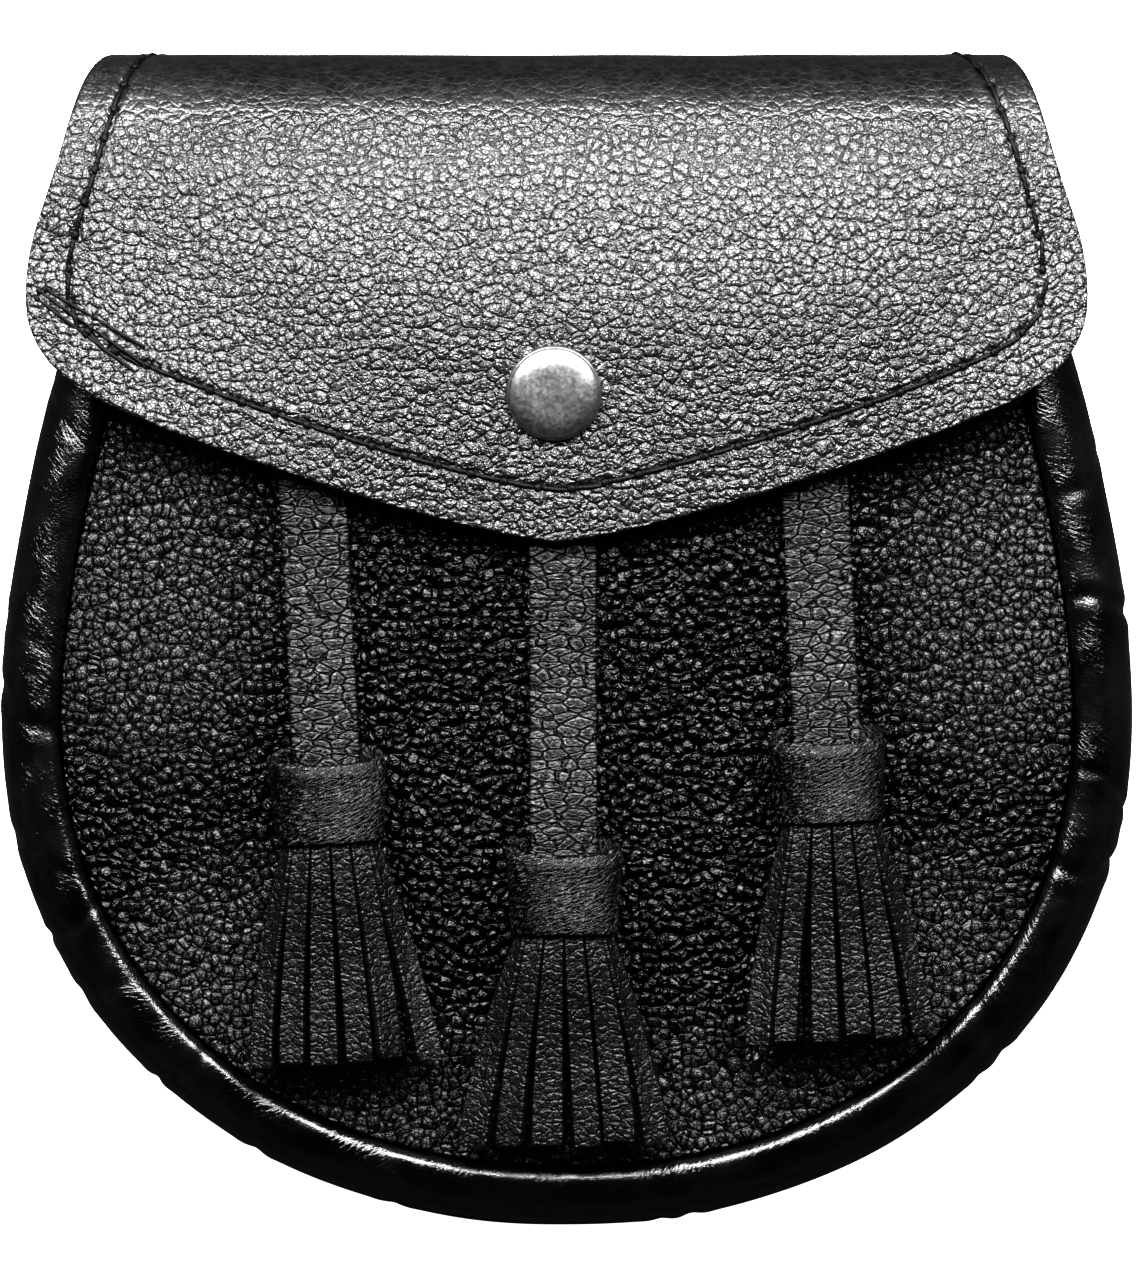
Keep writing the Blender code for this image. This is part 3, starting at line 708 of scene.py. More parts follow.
class Shader:
    """A material whose one Principled surface is fed by named patterns."""

    def __init__(self, name: str, laid_flat: bool = False) -> None:
        """Makes the material.

        Args:
            name: its name.
            laid_flat: whether its patterns follow the piece's laid-flat map and not space.
        """
        self.material = bpy.data.materials.new(name)
        self.material.use_nodes = True
        self.tree = self.material.node_tree
        self.surface = self.tree.nodes["Principled BSDF"]
        flat = self.add("ShaderNodeUVMap", uv_map=FLAT_MAP).outputs[0] if laid_flat else None
        self.place = flat or self.add("ShaderNodeTexCoord").outputs["Object"]

    def add(self, kind: str, inputs: dict | tuple = (), **settings: Any) -> bpy.types.Node:
        """Adds a node, as add_node does."""
        return add_node(self.tree, kind, inputs, **settings)

    def noise(
        self, size: float, detail: float = 3.0, stretch: tuple[float, float, float] = (1, 1, 1)
    ) -> bpy.types.NodeSocket:
        """Soft noise.

        Args:
            size: its grain, in metres.
            detail: how many finer layers it has.
            stretch: how much longer the grain is along each axis.

        Returns:
            The noise's socket, from 0 to 1.
        """
        scale = tuple(1 / (size * s) for s in stretch)
        spread = self.add("ShaderNodeVectorMath", {0: self.place, 1: scale}, operation="MULTIPLY")
        inputs = {"Vector": spread.outputs[0], "Scale": 1.0, "Detail": detail}
        return self.add("ShaderNodeTexNoise", inputs).outputs[0]

    def tint(self, share: Any, dark: str, light: str) -> None:
        """Feeds the base colour with a mix of two hex colours."""
        mix = self.add("ShaderNodeMix", {0: share, 6: linear(dark), 7: linear(light)}, data_type="RGBA")
        self.tree.links.new(mix.outputs[2], self.surface.inputs["Base Color"])

    def paint_sheen(self, tops: Any, places: Places, colour: str) -> None:
        """Paints sheen: makes the grain's tops paler round some places, over the base colour that is there.

        Args:
            tops: how much of a top each spot is.
            places: across, up, half width and half height of each place, in metres.
            colour: the hex colour of the painted sheen on the tops.
        """
        spots = self.add("ShaderNodeTexCoord").outputs["Object"]
        total: Any = 0.0
        for across, up, wide, high in places:
            centred = {0: spots, 1: (across, up, 0.0)}
            moved = self.add("ShaderNodeVectorMath", centred, operation="SUBTRACT").outputs[0]
            sized = {0: moved, 1: (1 / wide, 1 / high, 0.0)}
            away = self.add("ShaderNodeVectorMath", sized, operation="MULTIPLY").outputs[0]
            length = self.add("ShaderNodeVectorMath", {0: away}, operation="LENGTH").outputs["Value"]
            near = self.add(RANGE, (length, 0.2, 1.0, 1.0, 0.0), **SMOOTH)
            total = self.add(MATH, (total, near), operation="MAXIMUM")
        share = self.add(MATH, (total, tops), operation="MULTIPLY")
        under = self.surface.inputs["Base Color"].links[0].from_socket
        mix = self.add("ShaderNodeMix", {0: share, 6: under, 7: linear(colour)}, data_type="RGBA")
        self.tree.links.new(mix.outputs[2], self.surface.inputs["Base Color"])

    def layers(self, first: Any, *more: tuple[Any, float]) -> bpy.types.Node:
        """Adds layers of relief to a first one, each times its share.

        Args:
            first: the first layer.
            *more: the other layers, each with its share.

        Returns:
            The node that holds the whole relief.
        """
        height = first
        for layer, share in more:
            part = self.add(MATH, (layer, share), operation="MULTIPLY")
            height = self.add(MATH, (height, part), operation="ADD")
        return height

    def feed(self, socket: str, source: bpy.types.Node) -> None:
        """Feeds one of the surface's sockets from a node's first output."""
        self.tree.links.new(source.outputs[0], self.surface.inputs[socket])


@dataclass(frozen=True)
class PebbleLeather:
    """Black full-grain cowhide, drum-dyed and tumbled.

    Tumbling breaks the grain into raised pebbles, so the eye sees small shining tops, each tilted
    its own way, parted by dull black cracks.
    """

    name: str
    cell: float = 1.9 * MM
    warp: float = 0.9
    crack: float = 0.13
    roundness: float = 0.35
    tilt: float = 2.0
    crumble: float = 0.5
    depth: float = 0.26 * MM
    dark: str = "010101"
    light: str = "1e1e1f"
    gloss: Gloss = Gloss.SATIN
    specular: float = 0.5
    laid_flat: bool = False
    fade: tuple[float, float] | None = None
    # Painted sheen: paler grain tops round the listed places, in this colour.
    sheen_colour: str = "2e2e2e"
    sheen_places: Places = ()

    def build(self) -> bpy.types.Material:
        """Makes the material.

        Returns:
            The material.
        """
        s = Shader(self.name, self.laid_flat)
        edge = grain_cells(s.tree, s.place, self.cell, "DISTANCE_TO_EDGE", self.warp)
        centre = grain_cells(s.tree, s.place, self.cell, "F1", self.warp)
        plateau = s.add(RANGE, (edge, 0.0, self.crack * 2, 0.0, 1.0), **SMOOTH)
        fall = s.add(MATH, (s.add(MATH, (centre, 2.0), operation="POWER"), 3.0), operation="MULTIPLY")
        dome = s.add(MATH, (1.0, fall), operation="SUBTRACT")
        small = grain_cells(s.tree, s.place, self.cell * 0.42, "DISTANCE_TO_EDGE", self.warp)
        crumbs = s.add(RANGE, (small, 0.0, 0.25, 0.0, 1.0), **SMOOTH)
        level = s.add(MATH, (plateau, 1 - self.roundness), operation="MULTIPLY")
        height = s.layers(
            level,
            (dome, self.roundness),
            (crumbs, self.crumble * 0.6),
            (s.noise(self.cell * 1.1, 1.0), self.tilt),
            (s.noise(0.4 * MM, 2.0), self.crumble),
        )
        # Base colour: a random tone on the tops, times the plateau, so the cracks are painted black as
        # painted shade.
        tone_and_painted_shade = s.add(RANGE, (s.noise(14 * MM), 0.3, 0.7, 0.7, 1.0), **SMOOTH)
        tone_and_painted_shade = s.add(MATH, (plateau, tone_and_painted_shade), operation="MULTIPLY")
        if self.fade:
            up = s.add("ShaderNodeSeparateXYZ", {0: s.place}).outputs["Y"]
            ragged = s.layers(up, (s.noise(3 * MM), 3 * MM))
            kept = s.add(RANGE, (ragged, *self.fade, 1.0, 0.0), **SMOOTH)
            left = s.add(RANGE, (kept, 0.0, 1.0, 0.2, 1.0), **SMOOTH)
            height = s.add(MATH, (height, left), operation="MULTIPLY")
            # Where the grain fades towards the fold, the colour goes to the dark one: painted shade on the
            # fold.
            tone_and_painted_shade = s.add(MATH, (tone_and_painted_shade, kept), operation="MULTIPLY")
        bump = {"Height": height, "Distance": self.depth, "Strength": 1.0}
        s.feed("Normal", s.add("ShaderNodeBump", bump))
        s.tint(tone_and_painted_shade, self.dark, self.light)
        # Painted sheen: the grain's tops are paler round the listed places.
        if self.sheen_places:
            s.paint_sheen(s.add(MATH, (plateau, crumbs), operation="MULTIPLY"), self.sheen_places, self.sheen_colour)
        top, low = self.gloss.value
        rough = s.add(RANGE, (plateau, 0.0, 1.0, low, top), **SMOOTH)
        uneven = s.add(RANGE, (s.noise(2.4 * MM), 0.2, 0.8, -0.05, 0.05), **SMOOTH)
        s.feed("Roughness", s.add(MATH, (rough, uneven), operation="ADD"))
        s.surface.inputs["Specular IOR Level"].default_value = self.specular
        return s.material


@dataclass(frozen=True)
class SmoothLeather:
    """Black glazed calf, rolled to a shine.

    The glaze gives narrow bright reflections, and bending it leaves fine slanting wrinkles that
    break them.
    """

    name: str
    wrinkle: float = 0.55 * MM
    slant: float = 0.6
    run: float = 7.0
    calm: float = 0.15
    depth: float = 0.10 * MM
    dark: str = "020202"
    light: str = "0a0a0a"
    gloss: Gloss = Gloss.POLISHED
    specular: float = 0.5
    # Colour of the wrinkles' ridges over black creases: painted highlight and painted shade. None gives a
    # random tone.
    tone_and_painted_shade: str | None = None

    def build(self) -> bpy.types.Material:
        """Makes the material.

        Returns:
            The material.
        """
        s = Shader(self.name, laid_flat=True)
        lie = {"Vector": s.place, "Angle": self.slant}
        s.place = s.add("ShaderNodeVectorRotate", lie, rotation_type="Z_AXIS").outputs[0]
        lines = s.noise(self.wrinkle, 3.0, (1.0, self.run, 1.0))
        patches = s.add(RANGE, (s.noise(8 * MM, 2.0), 0.42, 0.62, self.calm, 1.0), **SMOOTH)
        pores = grain_cells(s.tree, s.place, 0.6 * MM, "DISTANCE_TO_EDGE", 0.8)
        ridges = s.add(RANGE, (lines, 0.35, 0.65, 0.0, 1.0), **SMOOTH)
        ridges = s.add(MATH, (ridges, patches), operation="MULTIPLY")
        height = s.layers(ridges, (s.add(RANGE, (pores, 0.0, 0.2, 0.0, 1.0), **SMOOTH), 0.2))
        bump = {"Height": height, "Distance": self.depth, "Strength": 1.0}
        s.feed("Normal", s.add("ShaderNodeBump", bump))
        # Painted light: ridges and pore tops take the paler colour and creases stay black, as painted
        # highlight and painted shade.
        if self.tone_and_painted_shade:
            tops = s.add(RANGE, (pores, 0.0, 0.3, 0.5, 1.0), **SMOOTH)
            tops = s.add(MATH, (ridges, tops), operation="MULTIPLY")
            s.tint(s.add(RANGE, (tops, 0.35, 0.95, 0.0, 1.0), **SMOOTH), self.dark, self.tone_and_painted_shade)
        else:
            s.tint(s.add(RANGE, (s.noise(9 * MM), 0.3, 0.7, 0.0, 1.0), **SMOOTH), self.dark, self.light)
        top, low = self.gloss.value
        s.feed("Roughness", s.add(RANGE, (s.noise(3.5 * MM, 4.0), 0.3, 0.75, top, low), **SMOOTH))
        s.surface.inputs["Specular IOR Level"].default_value = self.specular
        return s.material


@dataclass(frozen=True)
class CrackledLeather:
    """Black strap leather whose grain the pull has drawn out crosswise.

    Each drawn-out scale is bright along its upper side and black in the crease under it. The base colour
    paints both: a net of fine pale lines round each scale as painted highlight, over black creases as
    painted shade.
    """

    name: str
    cell: float = 1.55 * MM
    aspect: float = 2.0
    depth: float = 0.40 * MM
    dark: str = "000000"
    # Colour of the painted highlight net.
    light: str = "3a3a3a"

    def build(self) -> bpy.types.Material:
        """Makes the material.

        Returns:
            The material.
        """
        s = Shader(self.name, laid_flat=True)
        squeeze = (1 / self.aspect, 1.0, 1.0)
        place = s.add("ShaderNodeVectorMath", {0: s.place, 1: squeeze}, operation="MULTIPLY").outputs[0]
        edge = grain_cells(s.tree, place, self.cell, "DISTANCE_TO_EDGE", 1.0)
        centre = grain_cells(s.tree, place, self.cell, "F1", 1.0)
        small = grain_cells(s.tree, place, self.cell * 0.4, "DISTANCE_TO_EDGE", 1.0)
        scale = s.add(RANGE, (edge, 0.0, 0.10, 0.0, 1.0), **SMOOTH)
        height = s.add(MATH, (s.add(MATH, (centre, 2.0), operation="POWER"), -0.8), operation="MULTIPLY")
        crumbs = s.add(RANGE, (small, 0.0, 0.2, 0.0, 1.0), **SMOOTH)
        fine = s.noise(0.4 * MM, 3.0, (2.0, 1.0, 1.0))
        height = s.layers(height, (scale, 0.65), (crumbs, 0.26), (fine, 0.3))
        bump = {"Height": height, "Distance": self.depth, "Strength": 1.0}
        s.feed("Normal", s.add("ShaderNodeBump", bump))
        # Painted highlight: a pale band just inside each scale's edge, broken by noise. The creases and the
        # scales' middles stay dark as painted shade.
        inside = s.add(RANGE, (edge, 0.04, 0.10, 0.0, 1.0), **SMOOTH)
        beyond = s.add(RANGE, (edge, 0.11, 0.24, 1.0, 0.12), **SMOOTH)
        rim = s.add(MATH, (inside, beyond), operation="MULTIPLY")
        broken = s.noise(0.5 * MM, 2.0, (2.0, 1.0, 1.0))
        broken = s.add(RANGE, (broken, 0.35, 0.6, 0.15, 1.0), **SMOOTH)
        rim = s.add(MATH, (rim, broken), operation="MULTIPLY")
        s.tint(rim, self.dark, self.light)
        s.feed("Roughness", s.add(RANGE, (s.noise(2.2 * MM), 0.3, 0.7, 0.22, 0.30), **SMOOTH))
        s.surface.inputs["Specular IOR Level"].default_value = 0.19
        return s.material


@dataclass(frozen=True)
class AntiqueNickel:
    """Antiqued nickel plate on a stamped brass cap, tumbled dull.

    The tumbling leaves a satin face with cloudy darker patches and fine scratches.
    """

    name: str = "antique_nickel_plate"

    def build(self) -> bpy.types.Material:
        """Makes the material.

        Returns:
            The material.
        """
        s = Shader(self.name)
        clouds = s.noise(1.6 * MM, 5.0)
        s.tint(s.add(RANGE, (clouds, 0.3, 0.7, 0.0, 1.0), **SMOOTH), "7a7978", "949392")
        s.surface.inputs["Metallic"].default_value = 1.0
        s.feed("Roughness", s.add(RANGE, (s.noise(0.7 * MM, 5.0), 0.3, 0.7, 0.33, 0.41), **SMOOTH))
        bump = {"Height": s.noise(0.35 * MM, 3.0), "Distance": 0.006 * MM, "Strength": 1.0}
        s.feed("Normal", s.add("ShaderNodeBump", bump))
        return s.material


@dataclass(frozen=True)
class WaxedThread:
    """Black waxed polyester thread of two plies.

    The wax keeps it dark and the twist gives it a fine diagonal rib.
    """

    name: str = "waxed_black_thread"

    def build(self) -> bpy.types.Material:
        """Makes the material.

        Returns:
            The material.
        """
        s = Shader(self.name)
        twist = {"Vector": s.place, "Scale": 1 / (1.6 * MM), "Distortion": 0.6}
        rib = s.add("ShaderNodeTexWave", twist, bands_direction="DIAGONAL").outputs["Fac"]
        s.feed("Normal", s.add("ShaderNodeBump", {"Height": rib, "Distance": 0.05 * MM, "Strength": 1.0}))
        s.tint(rib, "010101", "050505")
        s.surface.inputs["Roughness"].default_value = 0.6
        s.surface.inputs["Specular IOR Level"].default_value = 0.15
        return s.material


@dataclass(frozen=True)
class PouchForm:
    """Sizes of the pouch, in metres, as its solids have them."""

    seam_half: float = 0.085
    seam_bowl: float = 0.0766
    mouth_top: float = 0.092
    mouth_taper: float = 0.0213
    taper_power: float = 1.6
    bowl_power: float = 2.13
    seam_depth: float = 0.030
    panel_wall: float = 0.0020
    crown: float = 0.0048
    crown_power: float = 2.6
    back_top: float = 0.084
    gusset_wall: float = 0.0018
    gusset_top: float = 0.087
    roll_reach: float = 0.0100
    roll_proud: float = 0.0020
    lip_radius: float = 0.0022
    roll_radius: float = 0.0082
    clearance: float = 0.0003
    corner: float = 0.60

    def half_at(self, y: Array | float) -> Array:
        """Half width of the panels at a height.

        Args:
            y: the height, from the widest line.

        Returns:
            Half widths, in metres.
        """
        y = np.asarray(y, dtype=float)
        mouth = self.seam_half - self.mouth_taper * (np.maximum(y, 0) / self.mouth_top) ** self.taper_power
        fill = np.maximum(1 - (np.maximum(-y, 0) / self.seam_bowl) ** self.bowl_power, 0.0)
        return np.where(y >= 0, mouth, self.seam_half * fill ** (1 / self.bowl_power))

    def seam(self, top: float) -> Path:
        """Right half of the panels' edge, from a height on the side to the foot of the bowl.

        Args:
            top: the height on the side.

        Returns:
            The edge, downwards.
        """
        y = np.linspace(top, 0, 200, endpoint=False)
        side = np.stack([self.half_at(y), y], axis=1)
        turn = np.linspace(0, math.pi / 2, 400)
        power = 2 / self.bowl_power
        across = self.seam_half * np.maximum(np.cos(turn), 0) ** power
        down = -self.seam_bowl * np.sin(turn) ** power
        return Path(np.vstack([side, np.stack([across, down], axis=1)]))

    def height_at(self, x: Array, y: Array) -> Array:
        """Height of the front panel's outer face.

        Args:
            x: places across.
            y: places up.

        Returns:
            Heights above the back panel's outer face, in metres.
        """
        x, y = np.abs(x), np.asarray(y, dtype=float)
        beside = x / self.half_at(np.maximum(y, 0))
        across = (x / self.seam_half) ** self.bowl_power
        below = (across + (np.maximum(-y, 0) / self.seam_bowl) ** self.bowl_power) ** (1 / self.bowl_power)
        reach = np.minimum(np.where(y >= 0, beside, below), 1.0)
        return self.seam_depth + self.crown * (1 - reach**self.crown_power)

    def section(self, facets: int) -> Array:
        """Outer face of the gusset: distance out from the seam against height, front to back.

        Args:
            facets: points round the lip; the roll has about twice as many.

        Returns:
            The points of the section.
        """
        lip = np.array([self.clearance + self.lip_radius, self.lip_radius - self.roll_proud])
        reach = self.roll_reach + self.clearance - self.roll_radius
        roll = np.array([reach, self.roll_radius - self.roll_proud])
        meet = math.acos((lip[0] - roll[0]) / self.roll_radius)
        turn = np.linspace(math.pi, 1.5 * math.pi, facets)[:, None]
        curl = lip + self.lip_radius * np.hstack([np.cos(turn), np.sin(turn)])
        turn = np.linspace(-meet, 0, 2 * facets)[1:, None]
        bulge = roll + self.roll_radius * np.hstack([np.cos(turn), np.sin(turn)])
        rear = np.vstack([[self.clearance, self.panel_wall], curl, bulge])
        front = rear.copy()
        front[:, 1] = self.seam_depth - front[:, 1]
        return np.vstack([front, rear[::-1]])


@dataclass
class Pouch:
    """The pouch itself: its two panels and the rolled gusset between them."""

    form: PouchForm
    shop: Workshop
    visible_top: float = 0.058
    # hidden rows, seen rows and half the columns; rows and half the columns; rows and columns.
    # A whole grid's rows and columns, less one, divide by CutSheet's step.
    front_grid: tuple[int, int, int] = (15, 241, 151)
    back_grid: tuple[int, int] = (61, 36)
    gusset_grid: tuple[int, int] = (751, 76)
    lip_facets: int = 9
    # Painted sheen: places where the panel's grain tops are painted paler, as light falling there.
    sheen_places: Places = (
        # across, up, half width, half height
        (-0.070, 0.008, 0.026, 0.040),
        (0.072, 0.008, 0.026, 0.040),
        (0.000, -0.083, 0.075, 0.026),
        (-0.056, -0.058, 0.026, 0.030),
        (0.058, -0.058, 0.030, 0.032),
    )
    creases: tuple[tuple[float, float, float, float, float], ...] = (
        # along, depth mm, width mm, slant, reach
        (0.052, 0.25, 1.0, 0.020, 1.0),
        (0.118, 0.30, 1.1, -0.012, 0.9),
        (0.165, 0.55, 1.2, 0.006, 1.0),
        (0.232, 0.35, 0.9, 0.010, 0.8),
        (0.262, 0.60, 1.2, -0.006, 1.0),
        (0.330, 0.40, 1.3, 0.008, 1.0),
        (0.344, 0.22, 1.0, 0.004, 0.8),
        (0.452, 0.40, 1.2, 0.004, 0.9),
        (0.466, 0.25, 1.1, 0.002, 0.8),
        (0.560, 0.25, 1.2, 0.006, 0.7),
        (0.618, 0.38, 1.2, -0.006, 0.9),
        (0.651, 0.45, 0.9, 0.004, 0.9),
        (0.690, 0.40, 1.3, 0.010, 1.0),
        (0.716, 0.40, 0.8, -0.004, 0.8),
        (0.742, 0.35, 1.4, 0.018, 1.0),
        (0.795, 0.45, 1.4, 0.012, 1.0),
        (0.822, 0.30, 1.3, 0.014, 1.0),
        (0.905, 0.30, 1.3, 0.022, 0.9),
        (0.955, 0.25, 1.2, 0.016, 0.9),
    )

    def build(self) -> None:
        """Makes and dresses the three pieces."""
        self.front_panel()
        self.back_panel()
        self.gusset()

    def patch(self, top: float, down: Array, out: Array) -> Array:
        """Flat grid over a panel whose mouth edge is at a height, just inside its rounded edge.

        Args:
            top: height of the mouth edge.
            down: where the rows lie, as shares from 0 to 1.
            out: where the columns of half the panel lie, as shares from 0 to 1.

        Returns:
            Flat points, rows by columns by two.
        """
        edge = self.form.seam(top).inset(-ROUNDED_EDGE)
        corner = edge.length * self.form.corner
        first, last = edge.points[0], edge.points[-1]
        mouth = Path([(0, first[1]), first])
        centre = Path([(0, first[1]), (0, last[1])])
        bottom = Path(np.vstack([(0, last[1]), edge.part(corner, edge.length).reversed().points[1:]]))
        return mirrored(coons(mouth, edge.part(0, corner), bottom, centre, down, out))

    def front_panel(self) -> None:
        """The crowned panel, pebbled wherever it shows below the flap."""
        # The panel's paler tops round its listed places are painted sheen.
        finish = PebbleLeather(
            "tumbled_cowhide_panel", 1.75 * MM, crack=0.1, roundness=0.5, tilt=0.45, crumble=0.2,
            depth=0.42 * MM, dark="000000", light="010101", specular=0.16, sheen_colour="343434", sheen_places=self.sheen_places,
        )
        height = self.form.mouth_top + self.form.seam_bowl
        hidden = (self.form.mouth_top - self.visible_top) / height
        above, below, across = self.front_grid
        covered = np.linspace(0, hidden, above, endpoint=False)
        down = np.concatenate([covered, np.linspace(hidden, 1, below)])
        flat = self.patch(self.form.mouth_top, down, np.linspace(0, 1, across))
        points = np.dstack([flat, self.form.height_at(flat[..., 0], flat[..., 1])])
        work = CutSheet(self.form.panel_wall).shell(points, flat)
        piece = self.shop.make("panel_front", work, finish.build())
        tree = pebble_tree(finish.cell, finish.warp)
        values = {"Depth": 0.14 * MM, "Waviness": 0.6 * MM, "Wave length": 26 * MM}
        self.shop.apply(piece, tree, values | {"Material": piece.data.materials[0]})
        self.shop.deliver(piece, "grained_leather", "front_panel")

    def back_panel(self) -> None:
        """The flat panel that lies against the kilt."""
        finish = SmoothLeather(
            "plain_calf_back", wrinkle=1.2 * MM, gloss=Gloss.DULL, light="101010", depth=0.05 * MM
        )
        rows, columns = self.back_grid
        flat = self.patch(self.form.back_top, np.linspace(0, 1, rows), np.linspace(0, 1, columns))
        points = np.dstack([flat, np.full(flat.shape[:2], self.form.panel_wall)])
        work = CutSheet(self.form.panel_wall).shell(points, flat)
        piece = self.shop.make("panel_back", work, finish.build())
        self.shop.deliver(piece, "smooth_leather", "back_panel")

    def gusset(self) -> None:
        """The rolled strip, with the creases that the roll took where it was drawn round the bowl."""
        form = self.form
        half = form.seam(form.gusset_top)
        other = half.points[-2::-1] * (-1, 1)
        path = Path(np.vstack([half.points, other]))
        rows, columns = self.gusset_grid
        along = np.linspace(0, 1, rows)
        section = Path(form.section(self.lip_facets))
        around = np.linspace(0, section.length, columns)
        profile = section.at(around)
        foot, heading = path.at(along * path.length), path.heading(along * path.length, 1.5 * MM)
        outwards = np.stack([-heading[:, 1], heading[:, 0]], axis=1)
        edge = foot[:, None] + outwards[:, None] * profile[None, :, :1]
        points = np.dstack([edge, np.broadcast_to(profile[:, 1], edge.shape[:2])])
        normals = grid_normals(points)
        flat = np.stack(np.meshgrid(along * path.length, around, indexing="ij"), axis=-1)
        points += normals * self.creasing(flat, path.length, section.length)[..., None]
        finish = SmoothLeather(
            "glazed_calf_roll", 0.6 * MM, run=3.5, calm=0.1, depth=0.075 * MM,
            dark="000000", light="070707", specular=0.44,
        )
        work = CutSheet(form.gusset_wall).shell(points, flat)
        piece = self.shop.make("gusset_roll", work, finish.build())
        self.shop.deliver(piece, "smooth_leather", "gusset")

    def creasing(self, flat: Array, length: float, girth: float) -> Array:
        """How far the roll's surface is moved out by its creases and its uneven stuffing.

        Args:
            flat: the gusset's grid laid flat, along and around, in metres.
            length: the gusset's length.
            girth: its section's length.

        Returns:
            Distances out along the surface's normals, in metres.
        """
        along, around = flat[..., 0], flat[..., 1]
        middle = np.sin(np.pi * np.clip(around / girth, 0, 1)) ** 0.5
        moved = np.zeros(along.shape)
        front = around - 0.2 * girth
        for share, depth, width, slant, reach in self.creases:
            bend = 0.9 * MM * np.sin(around / (3.1 * MM) + share * 90)
            line = share * length + slant * length * front / girth * 4 + bend
            away = (along - line) / (width * MM)
            hold = smooth_step((reach * 0.62 * girth - np.abs(around - 0.3 * girth)) / (0.2 * girth))
            moved -= depth * MM * hold * np.exp(-(away**2))
            moved += 0.25 * depth * MM * hold * np.exp(-((np.abs(away) - 2.1) ** 2))
        swell = np.sin(along / (17 * MM)) * np.sin(along / (7.3 * MM) + 1.7)
        return moved * middle + 0.16 * MM * swell * middle


@dataclass
class Flap:
    """The flap: one sheet from the back over the fold to its pointed front edge, with its seam."""

    form: PouchForm
    shop: Workshop
    wall: float = 0.0024
    edge: float = 0.7 * MM
    half_width: float = 0.0885
    shift: float = -0.0017
    tip: float = 0.0288
    fold_height: float = 0.1076
    fold_depth: float = 0.0406
    tail: float = 0.066
    tail_inset: float = 0.0008
    droop: float = 0.0050
    droop_power: float = 3.0
    seam_inset: float = 8.8 * MM
    pitch: float = 5.7 * MM
    # Heights between which the pebbles fade out towards the fold. There the flap's colour is also painted
    # dark as painted shade.
    fold_fade_and_painted_shade: tuple[float, float] = (0.0835, 0.0945)
    snap_place: tuple[float, float] = (-0.0004, 0.0539)
    # Painted sheen: places where the flap's grain tops are painted paler: its two sides and a band across
    # its upper front.
    sheen_places: Places = (
        # across, up, half width, half height
        (-0.094, 0.046, 0.070, 0.060),
        (0.090, 0.054, 0.040, 0.052),
        (0.005, 0.070, 0.120, 0.024),
    )
    seam_splay: tuple[float, float, float] = (0.052, 0.094, 0.030)
    strands: tuple[tuple[tuple[float, float], tuple[float, float]], ...] = (
        # one end and the other, each across and up, in millimetres
        ((-86.0, 70.6), (-77.4, 64.6)),
        ((-86.4, 69.4), (-78.4, 63.4)),
        ((-85.0, 71.0), (-76.8, 66.2)),
    )
    dimple: float = 0.35 * MM
    dimple_radius: float = 9.5 * MM
    profile_points: tuple[tuple[float, float], ...] = (
        # up, out
        (0.000, 0.924),
        (0.310, 0.975),
        (0.590, 0.995),
        (0.780, 0.957),
        (0.905, 0.825),
        (0.980, 0.640),
        (1.000, 0.456),
        (0.967, 0.222),
        (0.880, 0.054),
    )
    edge_points: tuple[tuple[float, float], ...] = (
        # half, run
        (0.000, 0.000),
        (0.130, 0.014),
        (0.336, 0.048),
        (0.612, 0.104),
        (0.786, 0.145),
        (0.887, 0.175),
        (0.955, 0.210),
        (0.991, 0.249),
        (1.000, 0.294),
        (0.987, 0.357),
        (0.944, 0.446),
        (0.876, 0.590),
    )
    corner_point: int = 6
    # rows behind and in front of the fold, and columns of half the sheet
    grid: tuple[int, int, int] = (55, 176, 181)
    profile: Path = field(init=False)

    def __post_init__(self) -> None:
        """Works out the side view of the inner face."""
        rise = self.fold_height - self.tip
        bends = [(self.tip + rise * up, self.fold_depth * out) for up, out in self.profile_points]
        c = -self.form.clearance
        back = [(self.form.back_top, c), ((self.form.back_top + self.tail) / 2, c), (self.tail, c)]
        self.profile = Path(spline([*bends, *back]))

    def outline(self) -> Path:
        """Right half of the flap's edge laid flat, from its tip to the end of its tail.

        Returns:
            The edge.
        """
        edge = [(self.half_width * half, self.profile.length * run) for half, run in self.edge_points]
        tail_half = self.form.half_at(self.form.gusset_top) - abs(self.shift) - self.tail_inset
        clear = self.profile.length - (self.form.gusset_top - self.tail) - self.wall
        return Path(spline([*edge, (tail_half, clear), (tail_half, self.profile.length)]))

    def inner(self, flat: Array) -> Array:
        """Where points of the flap, laid flat, come to lie on its inner face.

        Args:
            flat: points laid flat, across and along.

        Returns:
            Points in the sporran's own frame.
        """
        x, run = flat[..., 0], flat[..., 1]
        bend, heading = self.profile.at(run), self.profile.heading(run, 1.0 * MM)
        onto_back = smooth_step((run / self.profile.length - 0.32) / 0.26)
        droop = self.droop * (1 - onto_back) * (np.abs(x) / self.half_width) ** self.droop_power
        y = bend[..., 0] + heading[..., 1] * droop
        return np.stack([self.shift + x, y, bend[..., 1] - heading[..., 0] * droop], axis=-1)

    def outer(self, flat: Array) -> tuple[Array, Array]:
        """Points of the outer face and their outward normals.

        Args:
            flat: points laid flat, across and along.

        Returns:
            The points and the normals.
        """
        small = 0.3 * MM
        right, ahead = self.inner(flat + (small, 0)), self.inner(flat + (0, small))
        here = self.inner(flat)
        normal = np.cross(right - here, ahead - here)
        normal /= np.linalg.norm(normal, axis=-1, keepdims=True)
        away = np.hypot(here[..., 0] - self.snap_place[0], here[..., 1] - self.snap_place[1])
        front = here[..., 2] > self.fold_depth / 2
        pressed = self.dimple * np.exp(-((away / self.dimple_radius) ** 2)) * front
        return here + normal * (self.wall - pressed)[..., None], normal

    def run_at(self, height: float) -> float:
        """Distance along the flap, from its tip, at which its front reaches a height.

        Args:
            height: the height, from the widest line.

        Returns:
            The distance, in metres.
        """
        front = self.profile.points[:, 0] < self.fold_height * 0.99
        count = int(np.argmin(front))
        return float(np.interp(height, self.profile.points[:count, 0], self.profile.marks[:count]))

